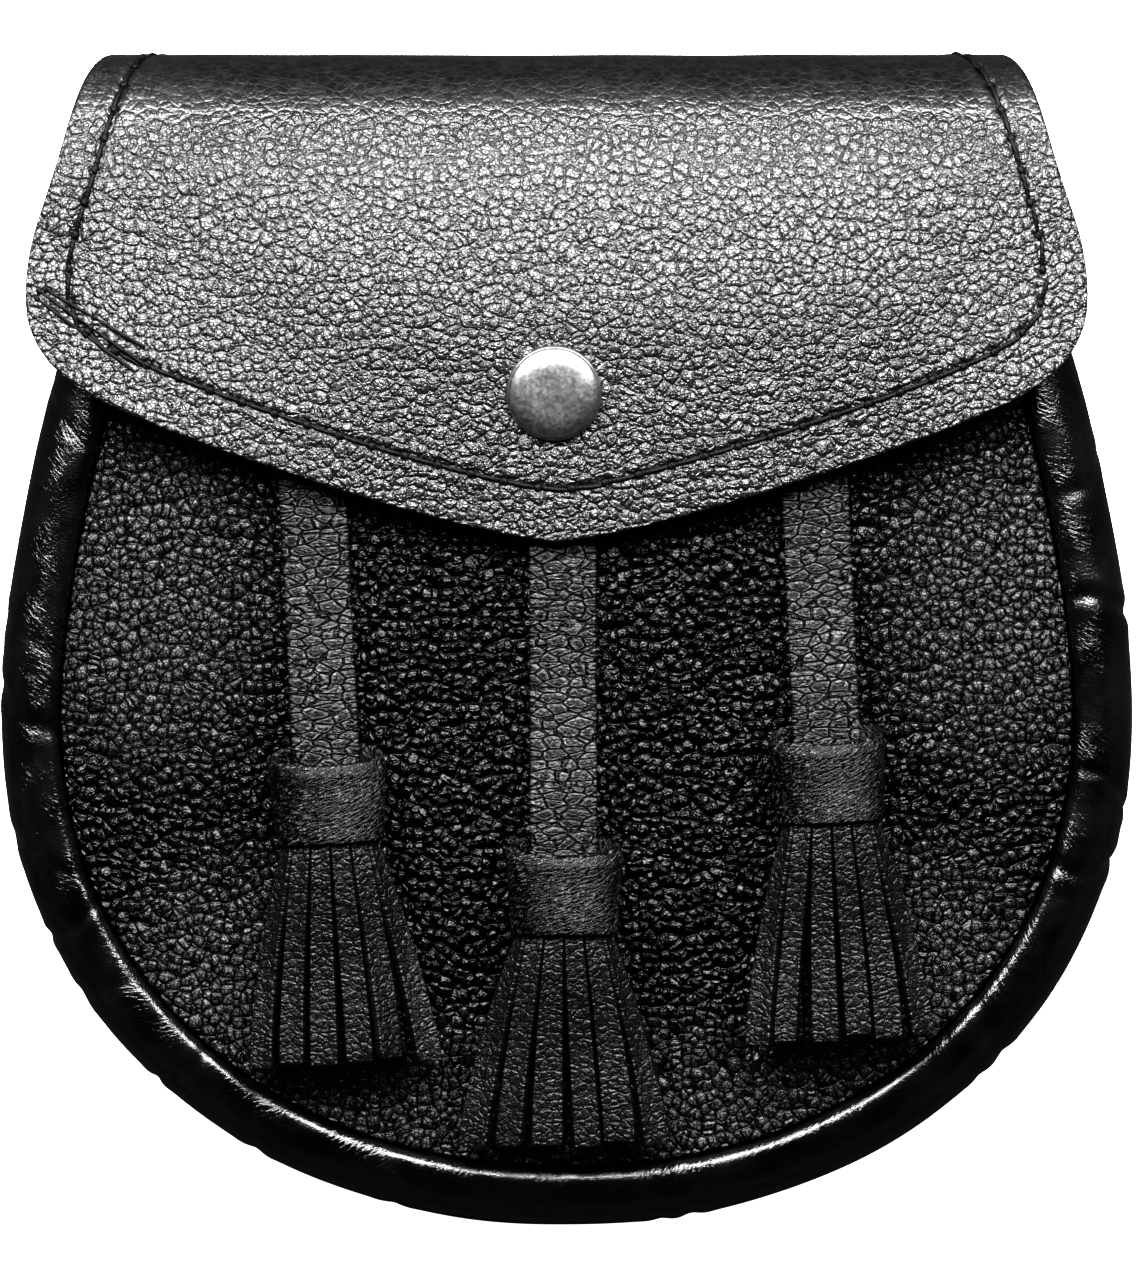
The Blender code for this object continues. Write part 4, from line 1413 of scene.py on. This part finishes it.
    def build(self) -> None:
        """Makes and dresses the flap and its thread."""
        # The flap's paler tops round its listed places are painted sheen, and its fold band is painted dark
        # as shade.
        finish = PebbleLeather(
            "tumbled_cowhide_flap", 1.8 * MM, tilt=1.0, crumble=0.55, roundness=0.25, depth=0.29 * MM,
            dark="000000", light="1a1a1b", gloss=Gloss.BRIGHT, specular=0.66, fade=self.fold_fade_and_painted_shade,
            sheen_colour="646464", sheen_places=self.sheen_places,
        )
        outline = self.outline().inset(self.edge)
        corner = float(outline.marks[self.corner_point * SPLINE_STEPS])
        start, end = outline.points[0], outline.points[-1]
        top = Path([(0, end[1] - self.edge), (end[0], end[1] - self.edge)])
        low = Path(np.vstack([(0, start[1]), outline.part(0, corner).points[1:]]))
        side = outline.part(corner, outline.length).reversed()
        side = Path(np.vstack([(end[0], end[1] - self.edge), side.points[1:]]))
        centre = Path([(0, end[1] - self.edge), (0, start[1])])
        front = 1 - self.run_at(self.fold_height * 0.985) / self.profile.length
        behind, before, across = self.grid
        down = np.concatenate(
            [np.linspace(0, front, behind, endpoint=False), np.linspace(front, 1, before)]
        )
        flat = mirrored(coons(top, side, low, centre, down, np.linspace(0, 1, across)))
        points, _ = self.outer(flat)
        work = CutSheet(self.wall, self.edge).shell(points, flat)
        piece = self.shop.make("flap_sheet", work, finish.build())
        material = piece.data.materials[0]
        seam = self.seam_path()
        bed = {"Pitch": self.pitch, "Path": seam, "Material": material}
        self.shop.apply(piece, seam_bed_tree(), bed)
        values = {"Depth": 0.12 * MM, "Waviness": 0.7 * MM, "Wave length": 34 * MM, "Material": material}
        values |= {"Fade from": self.fold_fade_and_painted_shade[0], "Fade to": self.fold_fade_and_painted_shade[1]}
        self.shop.apply(piece, pebble_tree(finish.cell, finish.warp), values)
        self.shop.deliver(piece, "grained_leather", "flap")
        thread = WaxedThread().build()
        self.sew("flap_stitches", seam, thread)
        self.overrun(thread)

    def seam_path(self) -> bpy.types.Object:
        """The line that the flap is sewn along, inside its edge from tail to tail.

        Returns:
            A helper object, which the stitches take the place of.
        """
        right = self.outline().inset(self.seam_inset)
        keep = (right.points[:, 0] > 0) & (right.points[:, 1] < self.profile.length - 4 * MM)
        flat = np.vstack([(0, right.points[keep][0, 1]), right.points[keep]])
        whole = Path(np.vstack([(flat * (-1, 1))[:0:-1], flat]))
        even = np.linspace(0, whole.length, 260)
        line = whole.at(even)
        line[:, 0] += 0.25 * MM * np.sin(even / (9 * MM)) + 0.2 * MM * np.sin(even / (23 * MM) + 1)
        low, high = self.run_at(self.seam_splay[0]), self.run_at(self.seam_splay[1])
        line[:, 0] *= 1 + self.seam_splay[2] * smooth_step((line[:, 1] - low) / (high - low))
        points, lifts = self.outer(line)
        return self.shop.path("flap_seam", points, lifts)

    def sew(self, name: str, line: bpy.types.Object, thread: bpy.types.Material) -> None:
        """Sews thread along a line, which becomes the stitches.

        Args:
            name: the stitches' name.
            line: the line.
            thread: the thread.
        """
        sizes = {"Pitch": self.pitch, "Thread": 0.40 * MM, "Hole": 0.75 * MM}
        sizes |= {"Rise": -0.12 * MM, "Sink": 0.7 * MM}
        self.shop.apply(line, stitch_tree(), sizes | {"Material": thread})
        line.name = name
        self.shop.deliver(line, "grained_leather")

    def overrun(self, thread: bpy.types.Material) -> None:
        """Three strands where the thread overran the corner and was sewn back.

        Args:
            thread: the thread.
        """
        for i, strand in enumerate(self.strands):
            ends = [(x * MM, self.run_at(y * MM)) for x, y in strand]
            flat = Path(ends).at(np.linspace(0, Path(ends).length, 12))
            points, lifts = self.outer(flat)
            line = self.shop.path(f"overrun_{i}", points, lifts)
            sizes = {"Pitch": Path(ends).length * 1.02, "Share": 1.0, "Thread": 0.3 * MM}
            sizes |= {"Rise": 0.12 * MM, "Sink": 0.4 * MM}
            self.shop.apply(line, stitch_tree(), sizes | {"Material": thread})
            self.shop.deliver(line, "grained_leather")


@dataclass
class Snap:
    """The snap: a domed cap on the flap, over the socket and stud that the flap hides."""

    flap: Flap
    shop: Workshop
    radius: float = 0.0080
    height: float = 0.0024
    sides: int = 96

    def build(self) -> None:
        """Makes the cap and dresses the hidden post."""
        across, up = self.flap.snap_place
        points, lifts = self.flap.outer(np.array([[across, self.flap.run_at(up)]]))
        axis = Vector(lifts[0])
        seat = Vector(points[0])
        r, h = self.radius, self.height
        dome = [(r * s, h * (1 - 0.08 * s**2 - 0.57 * s**6)) for s in np.linspace(0, 0.93, 16)]
        curl = np.linspace(0.35, 2.7, 9)
        rim = [(r * (0.93 + 0.07 * math.sin(a)), h * 0.16 + h * 0.30 * math.cos(a)) for a in curl]
        under = [(r * 0.95, -0.2 * MM), (r * 0.93, -0.5 * MM), (r * 0.5, -0.5 * MM)]
        profile = Path(spline([*dome, *rim, *under], 2)).points[1:]
        turns = np.linspace(0, math.tau, self.sides, endpoint=False)
        circle = np.stack([np.cos(turns), np.sin(turns)], axis=-1)
        rings = profile[:, 0, None, None] * circle
        local = np.dstack([rings, np.repeat(profile[:, 1:], self.sides, axis=1)]).reshape(-1, 3)
        turn = np.array(axis.to_track_quat("Z", "Y").to_matrix())
        count = len(profile)
        index = np.arange(count * self.sides).reshape(count, self.sides)
        near, far = index[:-1], index[1:]
        quads = np.stack([near, far, np.roll(far, -1, 1), np.roll(near, -1, 1)], axis=-1).reshape(-1, 4)
        faces = [tuple(q) for q in quads.tolist()]
        faces += [tuple(index[0].tolist()), tuple(index[-1, ::-1].tolist())]
        placed = local @ turn.T + np.array(seat)
        work = Leatherwork(placed, faces, np.zeros(len(placed)), placed[:, :2])
        piece = self.shop.make("snap_dome", work, AntiqueNickel().build())
        self.shop.deliver(piece, "antique_nickel", "snap_cap")
        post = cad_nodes()["snap_post"]
        post.data.materials.clear()
        post.data.materials.append(AntiqueNickel("plain_nickel_plate").build())


@dataclass
class Tassel:
    """One tassel: its strap, its collar and its fringe, in its own frame on the front panel."""

    name: str
    form: PouchForm
    shop: Workshop
    across: float
    down: float
    lean: float
    fringe: float
    spread: float
    seed: int
    strap_width: float = 0.0113
    strap_wall: float = 0.0020
    strap_top: float = 0.0455
    strap_climb: float = 0.030
    strap_tuck: float = 0.0024
    collar_width: float = 0.0190
    collar_depth: float = 0.0124
    collar_height: float = 0.0132
    collar_wall: float = 0.0013
    collar_slant: float = 0.0034
    collar_lip: float = 0.0006
    fringe_wall: float = 0.0013
    fringe_length: float = 0.0354
    fringe_spread: float = 0.0158
    fringe_depth: float = 0.0088
    strips: int = 12
    slits: tuple[float, float] = (0.14, 0.18)

    @property
    def middle(self) -> float:
        """Height of the collar's axis above the panel."""
        return self.form.clearance + self.collar_lip + self.collar_depth / 2

    def place(self, x: Array, y: Array, height: Array) -> Array:
        """Points of the tassel's frame, at heights above the panel's outer face.

        Args:
            x: places across the tassel.
            y: places up, from the collar's upper rim.
            height: heights above the panel.

        Returns:
            Points in the sporran's own frame.
        """
        turn = math.radians(self.lean)
        px = self.form.seam_half * self.across + x * math.cos(turn) - y * math.sin(turn)
        py = -self.form.seam_bowl * self.down + x * math.sin(turn) + y * math.cos(turn)
        return np.stack([px, py, self.form.height_at(px, py) + height], axis=-1)

    def build(
        self, strap: bpy.types.Material, collar: bpy.types.Material, fringe: bpy.types.Material
    ) -> None:
        """Makes and dresses the three pieces.

        Args:
            strap: the strap's finish.
            collar: the collar's finish.
            fringe: the fringe's finish.
        """
        self.strap(strap)
        self.collar(collar)
        self.skirt(fringe)

    def strap(self, finish: bpy.types.Material) -> None:
        """The strap lies on the panel and climbs into the collar.

        Args:
            finish: its leather.
        """
        edge = 0.45 * MM
        top = self.strap_top + self.form.seam_bowl * self.down
        y = np.linspace(top - edge, -self.strap_tuck + edge, 121)
        x = np.linspace(-1, 1, 21) * (self.strap_width / 2 - edge)
        climb = smooth_step((self.collar_slant + self.strap_climb - y) / self.strap_climb)
        inner = self.collar_width / 2 - self.collar_wall
        aside = self.strap_width / 2 / inner
        fall = (self.collar_depth / 2 - self.collar_wall) * math.sqrt(1 - aside**2)
        tucked = self.middle - fall + self.form.clearance
        height = self.form.clearance + (tucked - self.form.clearance) * climb + self.strap_wall
        gx, gy = np.meshgrid(x, y)
        crown = 0.25 * MM * (1 - (gx / self.strap_width * 2) ** 2)
        points = self.place(gx, gy, height[:, None] + crown)
        flat = np.stack([gx, gy], axis=-1) + TASSEL_SHIFT * self.seed
        work = CutSheet(self.strap_wall, edge).shell(points, flat)
        piece = self.shop.make(f"strap_{self.name}_leather", work, finish)
        self.shop.deliver(piece, "strap_leather", f"strap_{self.name}")

    def collar(self, finish: bpy.types.Material) -> None:
        """A band wrapped round the head, with a rolled lip at its upper rim.

        Args:
            finish: its leather.
        """
        sides, wall, lip = 96, self.collar_wall, self.collar_lip
        profile = Path(spline([
            # out from the outer face, share of the height
            (-wall, 0.50), (-wall, 0.93), (-wall * 0.8, 0.985), (-wall * 0.4, 1.0),
            (-lip * 0.1, 0.975), (lip * 0.25, 0.93), (lip * 0.55, 0.88), (lip * 0.55, 0.83),
            (lip * 0.2, 0.70), (-0.1 * MM, 0.48), (-0.4 * MM, 0.20), (-0.6 * MM, 0.04),
            (-wall * 0.65, 0.00), (-wall * 0.85, 0.00), (-wall, 0.05), (-wall, 0.50),
        ], 6)).points[:-1]
        angle = np.linspace(0, math.tau, sides, endpoint=False)
        far = (1 - np.sin(angle)) / 2
        out, share = profile[:, :1], profile[:, 1:]
        rng = np.random.default_rng(self.seed)
        wobble = 1 + 0.012 * np.sin(3 * angle + rng.uniform(0, 6))
        wobble = wobble + 0.008 * np.sin(5 * angle + rng.uniform(0, 6))
        x = (self.collar_width / 2 * wobble + out) * np.cos(angle)
        z = self.middle + (self.collar_depth / 2 * wobble + out) * np.sin(angle)
        y = -self.collar_height + share * (self.collar_height + self.collar_slant * far)
        points = self.place(x, y, z)
        spread = (angle * self.collar_width / 2, share * self.collar_height)
        flat = np.stack(np.broadcast_arrays(*spread), axis=-1)
        index = np.arange(points.shape[0] * sides).reshape(-1, sides)
        ahead = np.roll(index, -1, 0)
        quads = np.stack([index, np.roll(index, -1, 1), np.roll(ahead, -1, 1), ahead], axis=-1)
        quads = quads.reshape(-1, 4)
        faces = [tuple(q) for q in quads.tolist()]
        spots = points.reshape(-1, 3)
        laid = flat.reshape(-1, 2) + TASSEL_SHIFT * self.seed
        work = Leatherwork(spots, faces, np.zeros(len(spots)), laid)
        piece = self.shop.make(f"collar_{self.name}_band", work, finish)
        self.shop.deliver(piece, "smooth_leather", f"collar_{self.name}")

    def skirt(self, finish: bpy.types.Material) -> None:
        """The fringe: a rolled head inside the collar and strips that spread below it.

        Args:
            finish: its leather.
        """
        rng = np.random.default_rng(self.seed)
        inset = self.collar_wall + self.form.clearance
        half, deep = self.collar_width / 2 - inset, self.collar_depth / 2 - inset
        rows = 36
        share = np.linspace(-0.32, 1, rows + 1)
        below = np.clip(share, 0, 1)
        wide = half + (self.fringe_spread * self.spread - half) * (1 - (1 - below) ** 1.35)
        flat_deep = deep + (self.fringe_depth / 2 - deep) * below
        sag = smooth_step(below * 1.6)
        middle = self.middle + (self.form.clearance + flat_deep - self.middle) * sag
        length = self.fringe_length * self.fringe
        works = []
        for i in range(self.strips):
            sway, lift, cut = rng.normal(0, 0.45), abs(rng.normal(0, 0.35)), rng.uniform(-1.4, 0.2)
            broad = rng.uniform(0.80, 1.06)
            reach = length + cut * MM
            y = -(self.collar_height + reach * share)
            columns = np.linspace(-0.5, 0.5, 7)
            centre, tangent = self.rim(wide, flat_deep, (i + 0.5) / self.strips)
            girth = self.girth(wide, flat_deep)
            slit = self.slits[0] + (self.slits[1] - self.slits[0]) * below
            broader = 1 + (broad - 1) * smooth_step(below * 1.5)
            width = girth / self.strips * (1 - slit) * broader - 0.5 * MM
            twist = rng.normal(0, 0.18) * below
            normal = np.stack([tangent[:, 1], -tangent[:, 0]], axis=1)
            way = tangent * np.cos(twist)[:, None] + normal * np.sin(twist)[:, None]
            spot = centre[:, None] + way[:, None] * (columns[None] * width[:, None])[..., None]
            spot += way[:, None] * (sway * MM * below**2)[:, None, None]
            spot += (0.22 * MM * (1 - (2 * columns) ** 2))[None, :, None] * normal[:, None]
            height = middle[:, None] + spot[..., 1] + (lift * MM * below**2)[:, None]
            height = np.maximum(height, self.fringe_wall + self.form.clearance)
            down = np.broadcast_to(y[:, None], height.shape)
            points = self.place(spot[..., 0], down, height)
            flat = np.stack([columns[None] * width[:, None] + 0.02 * i, down], axis=-1)
            works.append(CutSheet(self.fringe_wall, 0.25 * MM, 3).shell(points, flat))
        piece = self.shop.make(f"fringe_{self.name}_strips", join(works), finish)
        self.shop.deliver(piece, "fringe_leather", f"fringe_{self.name}")

    @staticmethod
    def girth(wide: Array, deep: Array) -> Array:
        """Lengths round ovals of these half widths and half depths.

        Args:
            wide: half widths.
            deep: half depths.

        Returns:
            One length for each oval.
        """
        turn = np.linspace(0, math.tau, 181)
        x, z = wide[:, None] * np.cos(turn), deep[:, None] * np.sin(turn)
        return np.hypot(np.diff(x, axis=1), np.diff(z, axis=1)).sum(axis=1)

    @staticmethod
    def rim(wide: Array, deep: Array, share: float) -> tuple[Array, Array]:
        """Points and tangents at a share of the way round ovals, anticlockwise from +X.

        Args:
            wide: half widths.
            deep: half depths.
            share: the share of the way round.

        Returns:
            The points and the tangents, one for each oval.
        """
        turn = np.linspace(0, math.tau, 361)
        centres, tangents = [], []
        for a, b in zip(wide, deep):
            oval = Path(np.stack([a * np.cos(turn), b * np.sin(turn)], axis=1))
            centres.append(oval.at(oval.length * share))
            tangents.append(-oval.heading(oval.length * share))
        return np.array(centres), np.array(tangents)


def join(works: list[Leatherwork]) -> Leatherwork:
    """Joins several closed bodies into one mesh.

    Args:
        works: the bodies.

    Returns:
        One mesh that holds them all.
    """
    faces: list[tuple[int, ...]] = []
    count = 0
    for work in works:
        faces += [tuple(i + count for i in face) for face in work.faces]
        count += len(work.points)
    return Leatherwork(
        np.vstack([w.points for w in works]),
        faces,
        np.concatenate([w.mask for w in works]),
        np.vstack([w.flat for w in works]),
    )


@dataclass
class BeltLoop:
    """One plain loop on the back, fixed at both ends, that a chain strap goes through."""

    side: str
    across: float
    form: PouchForm
    shop: Workshop
    width: float = 0.014
    wall: float = 0.0020
    up: float = 0.037
    flat: float = 0.022
    rise: float = 0.0050
    foot: float = 0.0080
    gap: float = 0.0052
    grid: tuple[int, int] = (101, 11)
    foot_points: int = 8

    def build(self, finish: bpy.types.Material, thread: bpy.types.Material) -> None:
        """Makes the loop and the thread at its feet.

        Args:
            finish: the loop's leather.
            thread: its thread.
        """
        lean = math.atan2(self.shop.frame.to_world[2][1], self.shop.frame.to_world[1][1])
        c = -self.form.clearance
        upper, lower = self.up + self.flat / 2, self.up - self.flat / 2
        touch = c - self.gap - self.wall
        stand = [touch - math.tan(lean) * (y - self.up) + self.wall for y in (upper, lower)]
        line = [(lower - self.rise - self.foot, c), (lower - self.rise, c), (lower, stand[1])]
        line += [(upper, stand[0]), (upper + self.rise, c), (upper + self.rise + self.foot, c)]
        rounded = self.rounded(Path(line), 1.2 * MM)
        edge = 0.5 * MM
        rows, columns = self.grid
        run = np.linspace(edge, rounded.length - edge, rows)
        x = np.linspace(-1, 1, columns) * (self.width / 2 - edge)
        spot, heading = rounded.at(run), rounded.heading(run, 0.6 * MM)
        normal = np.stack([heading[:, 1], -heading[:, 0]], axis=1)
        outer = spot + normal * self.wall
        gx, gy = np.meshgrid(x, run)
        sides = [np.repeat(outer[:, i : i + 1], columns, 1) for i in (0, 1)]
        points = np.stack([self.across + gx, *sides], axis=-1)
        flat = np.stack([gx, gy], axis=-1)
        work = CutSheet(self.wall, edge).shell(points, flat)
        piece = self.shop.make(f"loop_{self.side}_leather", work, finish)
        self.shop.deliver(piece, "smooth_leather", f"belt_loop_{self.side}")
        for end, middle in (("lower", self.foot / 2), ("upper", rounded.length - self.foot / 2)):
            self.sew(f"loop_{self.side}_{end}_stitches", rounded, middle, thread)

    def sew(self, name: str, rounded: Path, middle: float, thread: bpy.types.Material) -> None:
        """Sews one row of thread across a foot.

        Args:
            name: the row's name.
            rounded: the loop's line.
            middle: how far along that line the row lies.
            thread: its thread.
        """
        where, count = np.array([middle]), self.foot_points
        spot, heading = rounded.at(where)[0], rounded.heading(where, 0.6 * MM)[0]
        out = np.array([0.0, heading[1], -heading[0]])
        x = self.across + np.linspace(-1, 1, count) * (self.width / 2 - 1.8 * MM)
        points = np.stack([x, np.full(count, spot[0]), np.full(count, spot[1])], axis=-1)
        line = self.shop.path(name, points + out * self.wall, np.tile(out, (count, 1)))
        sizes = {"Pitch": 3.4 * MM, "Thread": 0.28 * MM, "Hole": 0.4 * MM}
        sizes |= {"Rise": 0.1 * MM, "Sink": 0.4 * MM}
        self.shop.apply(line, stitch_tree(), sizes | {"Material": thread})
        self.shop.deliver(line, "smooth_leather")

    @staticmethod
    def rounded(path: Path, radius: float) -> Path:
        """The same line with its bends rounded off.

        Args:
            path: the line.
            radius: how far on either side of a point the line is evened out.

        Returns:
            The rounded line.
        """
        run = np.linspace(0, path.length, 600)
        points = path.at(run)
        reach = max(int(radius / (run[1] - run[0])), 1)
        kernel = np.ones(2 * reach + 1) / (2 * reach + 1)
        padded = np.pad(points, ((reach, reach), (0, 0)), mode="reflect", reflect_type="odd")
        smooth = np.stack([np.convolve(padded[:, i], kernel, "valid") for i in range(2)], axis=1)
        return Path(smooth)


@dataclass(frozen=True)
class SoftLight:
    """One soft box: its place, its size and its power."""

    name: str
    place: tuple[float, float, float]
    size: tuple[float, float]
    power: float

    def build(self) -> None:
        """Hangs the light, facing the sporran."""
        lamp = bpy.data.lights.new(self.name, "AREA")
        lamp.shape = "RECTANGLE"
        lamp.size, lamp.size_y = self.size
        lamp.energy = self.power
        holder = bpy.data.objects.new(self.name, lamp)
        holder.location = self.place
        holder.rotation_euler = Vector(self.place).to_track_quat("Z", "Y").to_euler()
        bpy.context.scene.collection.objects.link(holder)


@dataclass(frozen=True)
class Stage:
    """The pale floor, the soft light and the camera straight above."""

    board_size: float = 6.0
    camera_height: float = 2.4
    sensor: float = 36.0
    aim_height: float = 0.036
    aim_across: float = 0.0006
    lights: tuple[SoftLight, ...] = (
        SoftLight("key_from_above_the_fold", (0.0, 0.78, 1.0), (2.2, 0.6), 150.0),
    )

    def build(self) -> None:
        """Sets the stage."""
        self.floor()
        self.world()
        self.camera()
        for light in self.lights:
            light.build()

    def floor(self) -> None:
        """A wide board under the sporran: pale to the camera, dark in the light it throws back."""
        bpy.ops.mesh.primitive_grid_add(x_subdivisions=8, y_subdivisions=8, size=self.board_size)
        board = bpy.context.object
        board.name = "pale_board"
        s = Shader("matt_pale_board")
        seen = s.add("ShaderNodeLightPath").outputs["Is Camera Ray"]
        s.tint(seen, "2a2a2a", "d0d0d0")
        s.surface.inputs["Roughness"].default_value = 0.9
        s.surface.inputs["Specular IOR Level"].default_value = 0.0
        s.surface.inputs["Emission Color"].default_value = (1.0, 1.0, 1.0, 1.0)
        s.feed("Emission Strength", s.add(MATH, (seen, 0.8), operation="MULTIPLY"))
        board.data.materials.append(s.material)

    def world(self) -> None:
        """A dark room behind a pale backdrop: only the camera sees the backdrop."""
        world = bpy.data.worlds.new("studio")
        bpy.context.scene.world = world
        world.use_nodes = True
        tree = world.node_tree
        seen = add_node(tree, "ShaderNodeLightPath").outputs["Is Camera Ray"]
        way = add_node(tree, "ShaderNodeTexCoord").outputs["Generated"]
        up = add_node(tree, "ShaderNodeSeparateXYZ", {0: way}).outputs["Z"]
        ends = {"Value": up, "From Min": 0.0, "From Max": 0.6, "To Min": 0.25, "To Max": 0.01}
        fade = add_node(tree, "ShaderNodeMapRange", ends).outputs[0]
        bright = add_node(tree, MATH, (seen, 0.9), operation="MULTIPLY")
        shown = add_node(tree, MATH, (fade, bright), operation="MAXIMUM")
        tree.links.new(shown.outputs[0], tree.nodes["Background"].inputs["Strength"])
        tree.nodes["Background"].inputs["Color"].default_value = (1.0, 1.0, 1.0, 1.0)

    def camera(self) -> None:
        """A long lens straight above, framed as the photograph is."""
        camera = bpy.data.cameras.new("camera")
        camera.sensor_fit = "HORIZONTAL"
        camera.sensor_width = self.sensor
        width = IMAGE_SIZE[0] * METRES_PER_PIXEL
        camera.lens = self.sensor * (self.camera_height - self.aim_height) / width
        camera.clip_start, camera.clip_end = 0.1, 20.0
        holder = bpy.data.objects.new("camera", camera)
        holder.location = (self.aim_across, 0.0, self.camera_height)
        bpy.context.scene.collection.objects.link(holder)
        bpy.context.scene.camera = holder


def main() -> None:
    """Builds the sporran's pieces in order and sets the stage."""
    logging.basicConfig(level=logging.INFO, format="%(name)s: %(message)s")
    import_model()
    scene = bpy.context.scene
    scene.view_settings.view_transform = "Standard"
    scene.view_settings.look = "High Contrast"
    form = PouchForm()
    shop = Workshop(PouchFrame.from_solids(form.seam_bowl))
    Pouch(form, shop).build()
    flap = Flap(form, shop)
    flap.build()
    Snap(flap, shop).build()
    strap = CrackledLeather("crackled_strap_leather").build()
    # The collar's paler wrinkle ridges over black creases are painted highlight and painted shade.
    collar = SmoothLeather(
        "waxed_calf_collar", 0.36 * MM, slant=-1.25, run=4.5, calm=0.75, depth=0.14 * MM,
        dark="000000", gloss=Gloss.WAXED, specular=0.21, tone_and_painted_shade="4a4a4a",
    ).build()
    fringe = PebbleLeather(
        "tumbled_cowhide_fringe", 1.2 * MM, tilt=0.9, crumble=0.5, roundness=0.2, depth=0.15 * MM,
        dark="010101", light="0c0c0c", gloss=Gloss.DULL, specular=0.27, laid_flat=True,
    ).build()
    tassels = (
        # name, across, down, lean, fringe, spread, seed
        ("left", -0.473, 0.107, 3.0, 1.06, 1.00, 3),
        ("centre", -0.006, 0.306, 0.2, 1.02, 1.10, 11),
        ("right", 0.512, 0.061, 2.7, 1.04, 1.00, 7),
    )
    for name, across, down, lean, length, spread, seed in tassels:
        Tassel(name, form, shop, across, down, lean, length, spread, seed).build(strap, collar, fringe)
    calf = SmoothLeather("plain_calf_loops", gloss=Gloss.DULL, light="101010").build()
    thread = WaxedThread("waxed_back_thread").build()
    for side, across in (("left", -0.045), ("right", 0.045)):
        BeltLoop(side, across, form, shop).build(calf, thread)
    Stage().build()


if __name__ == "__main__":
    main()
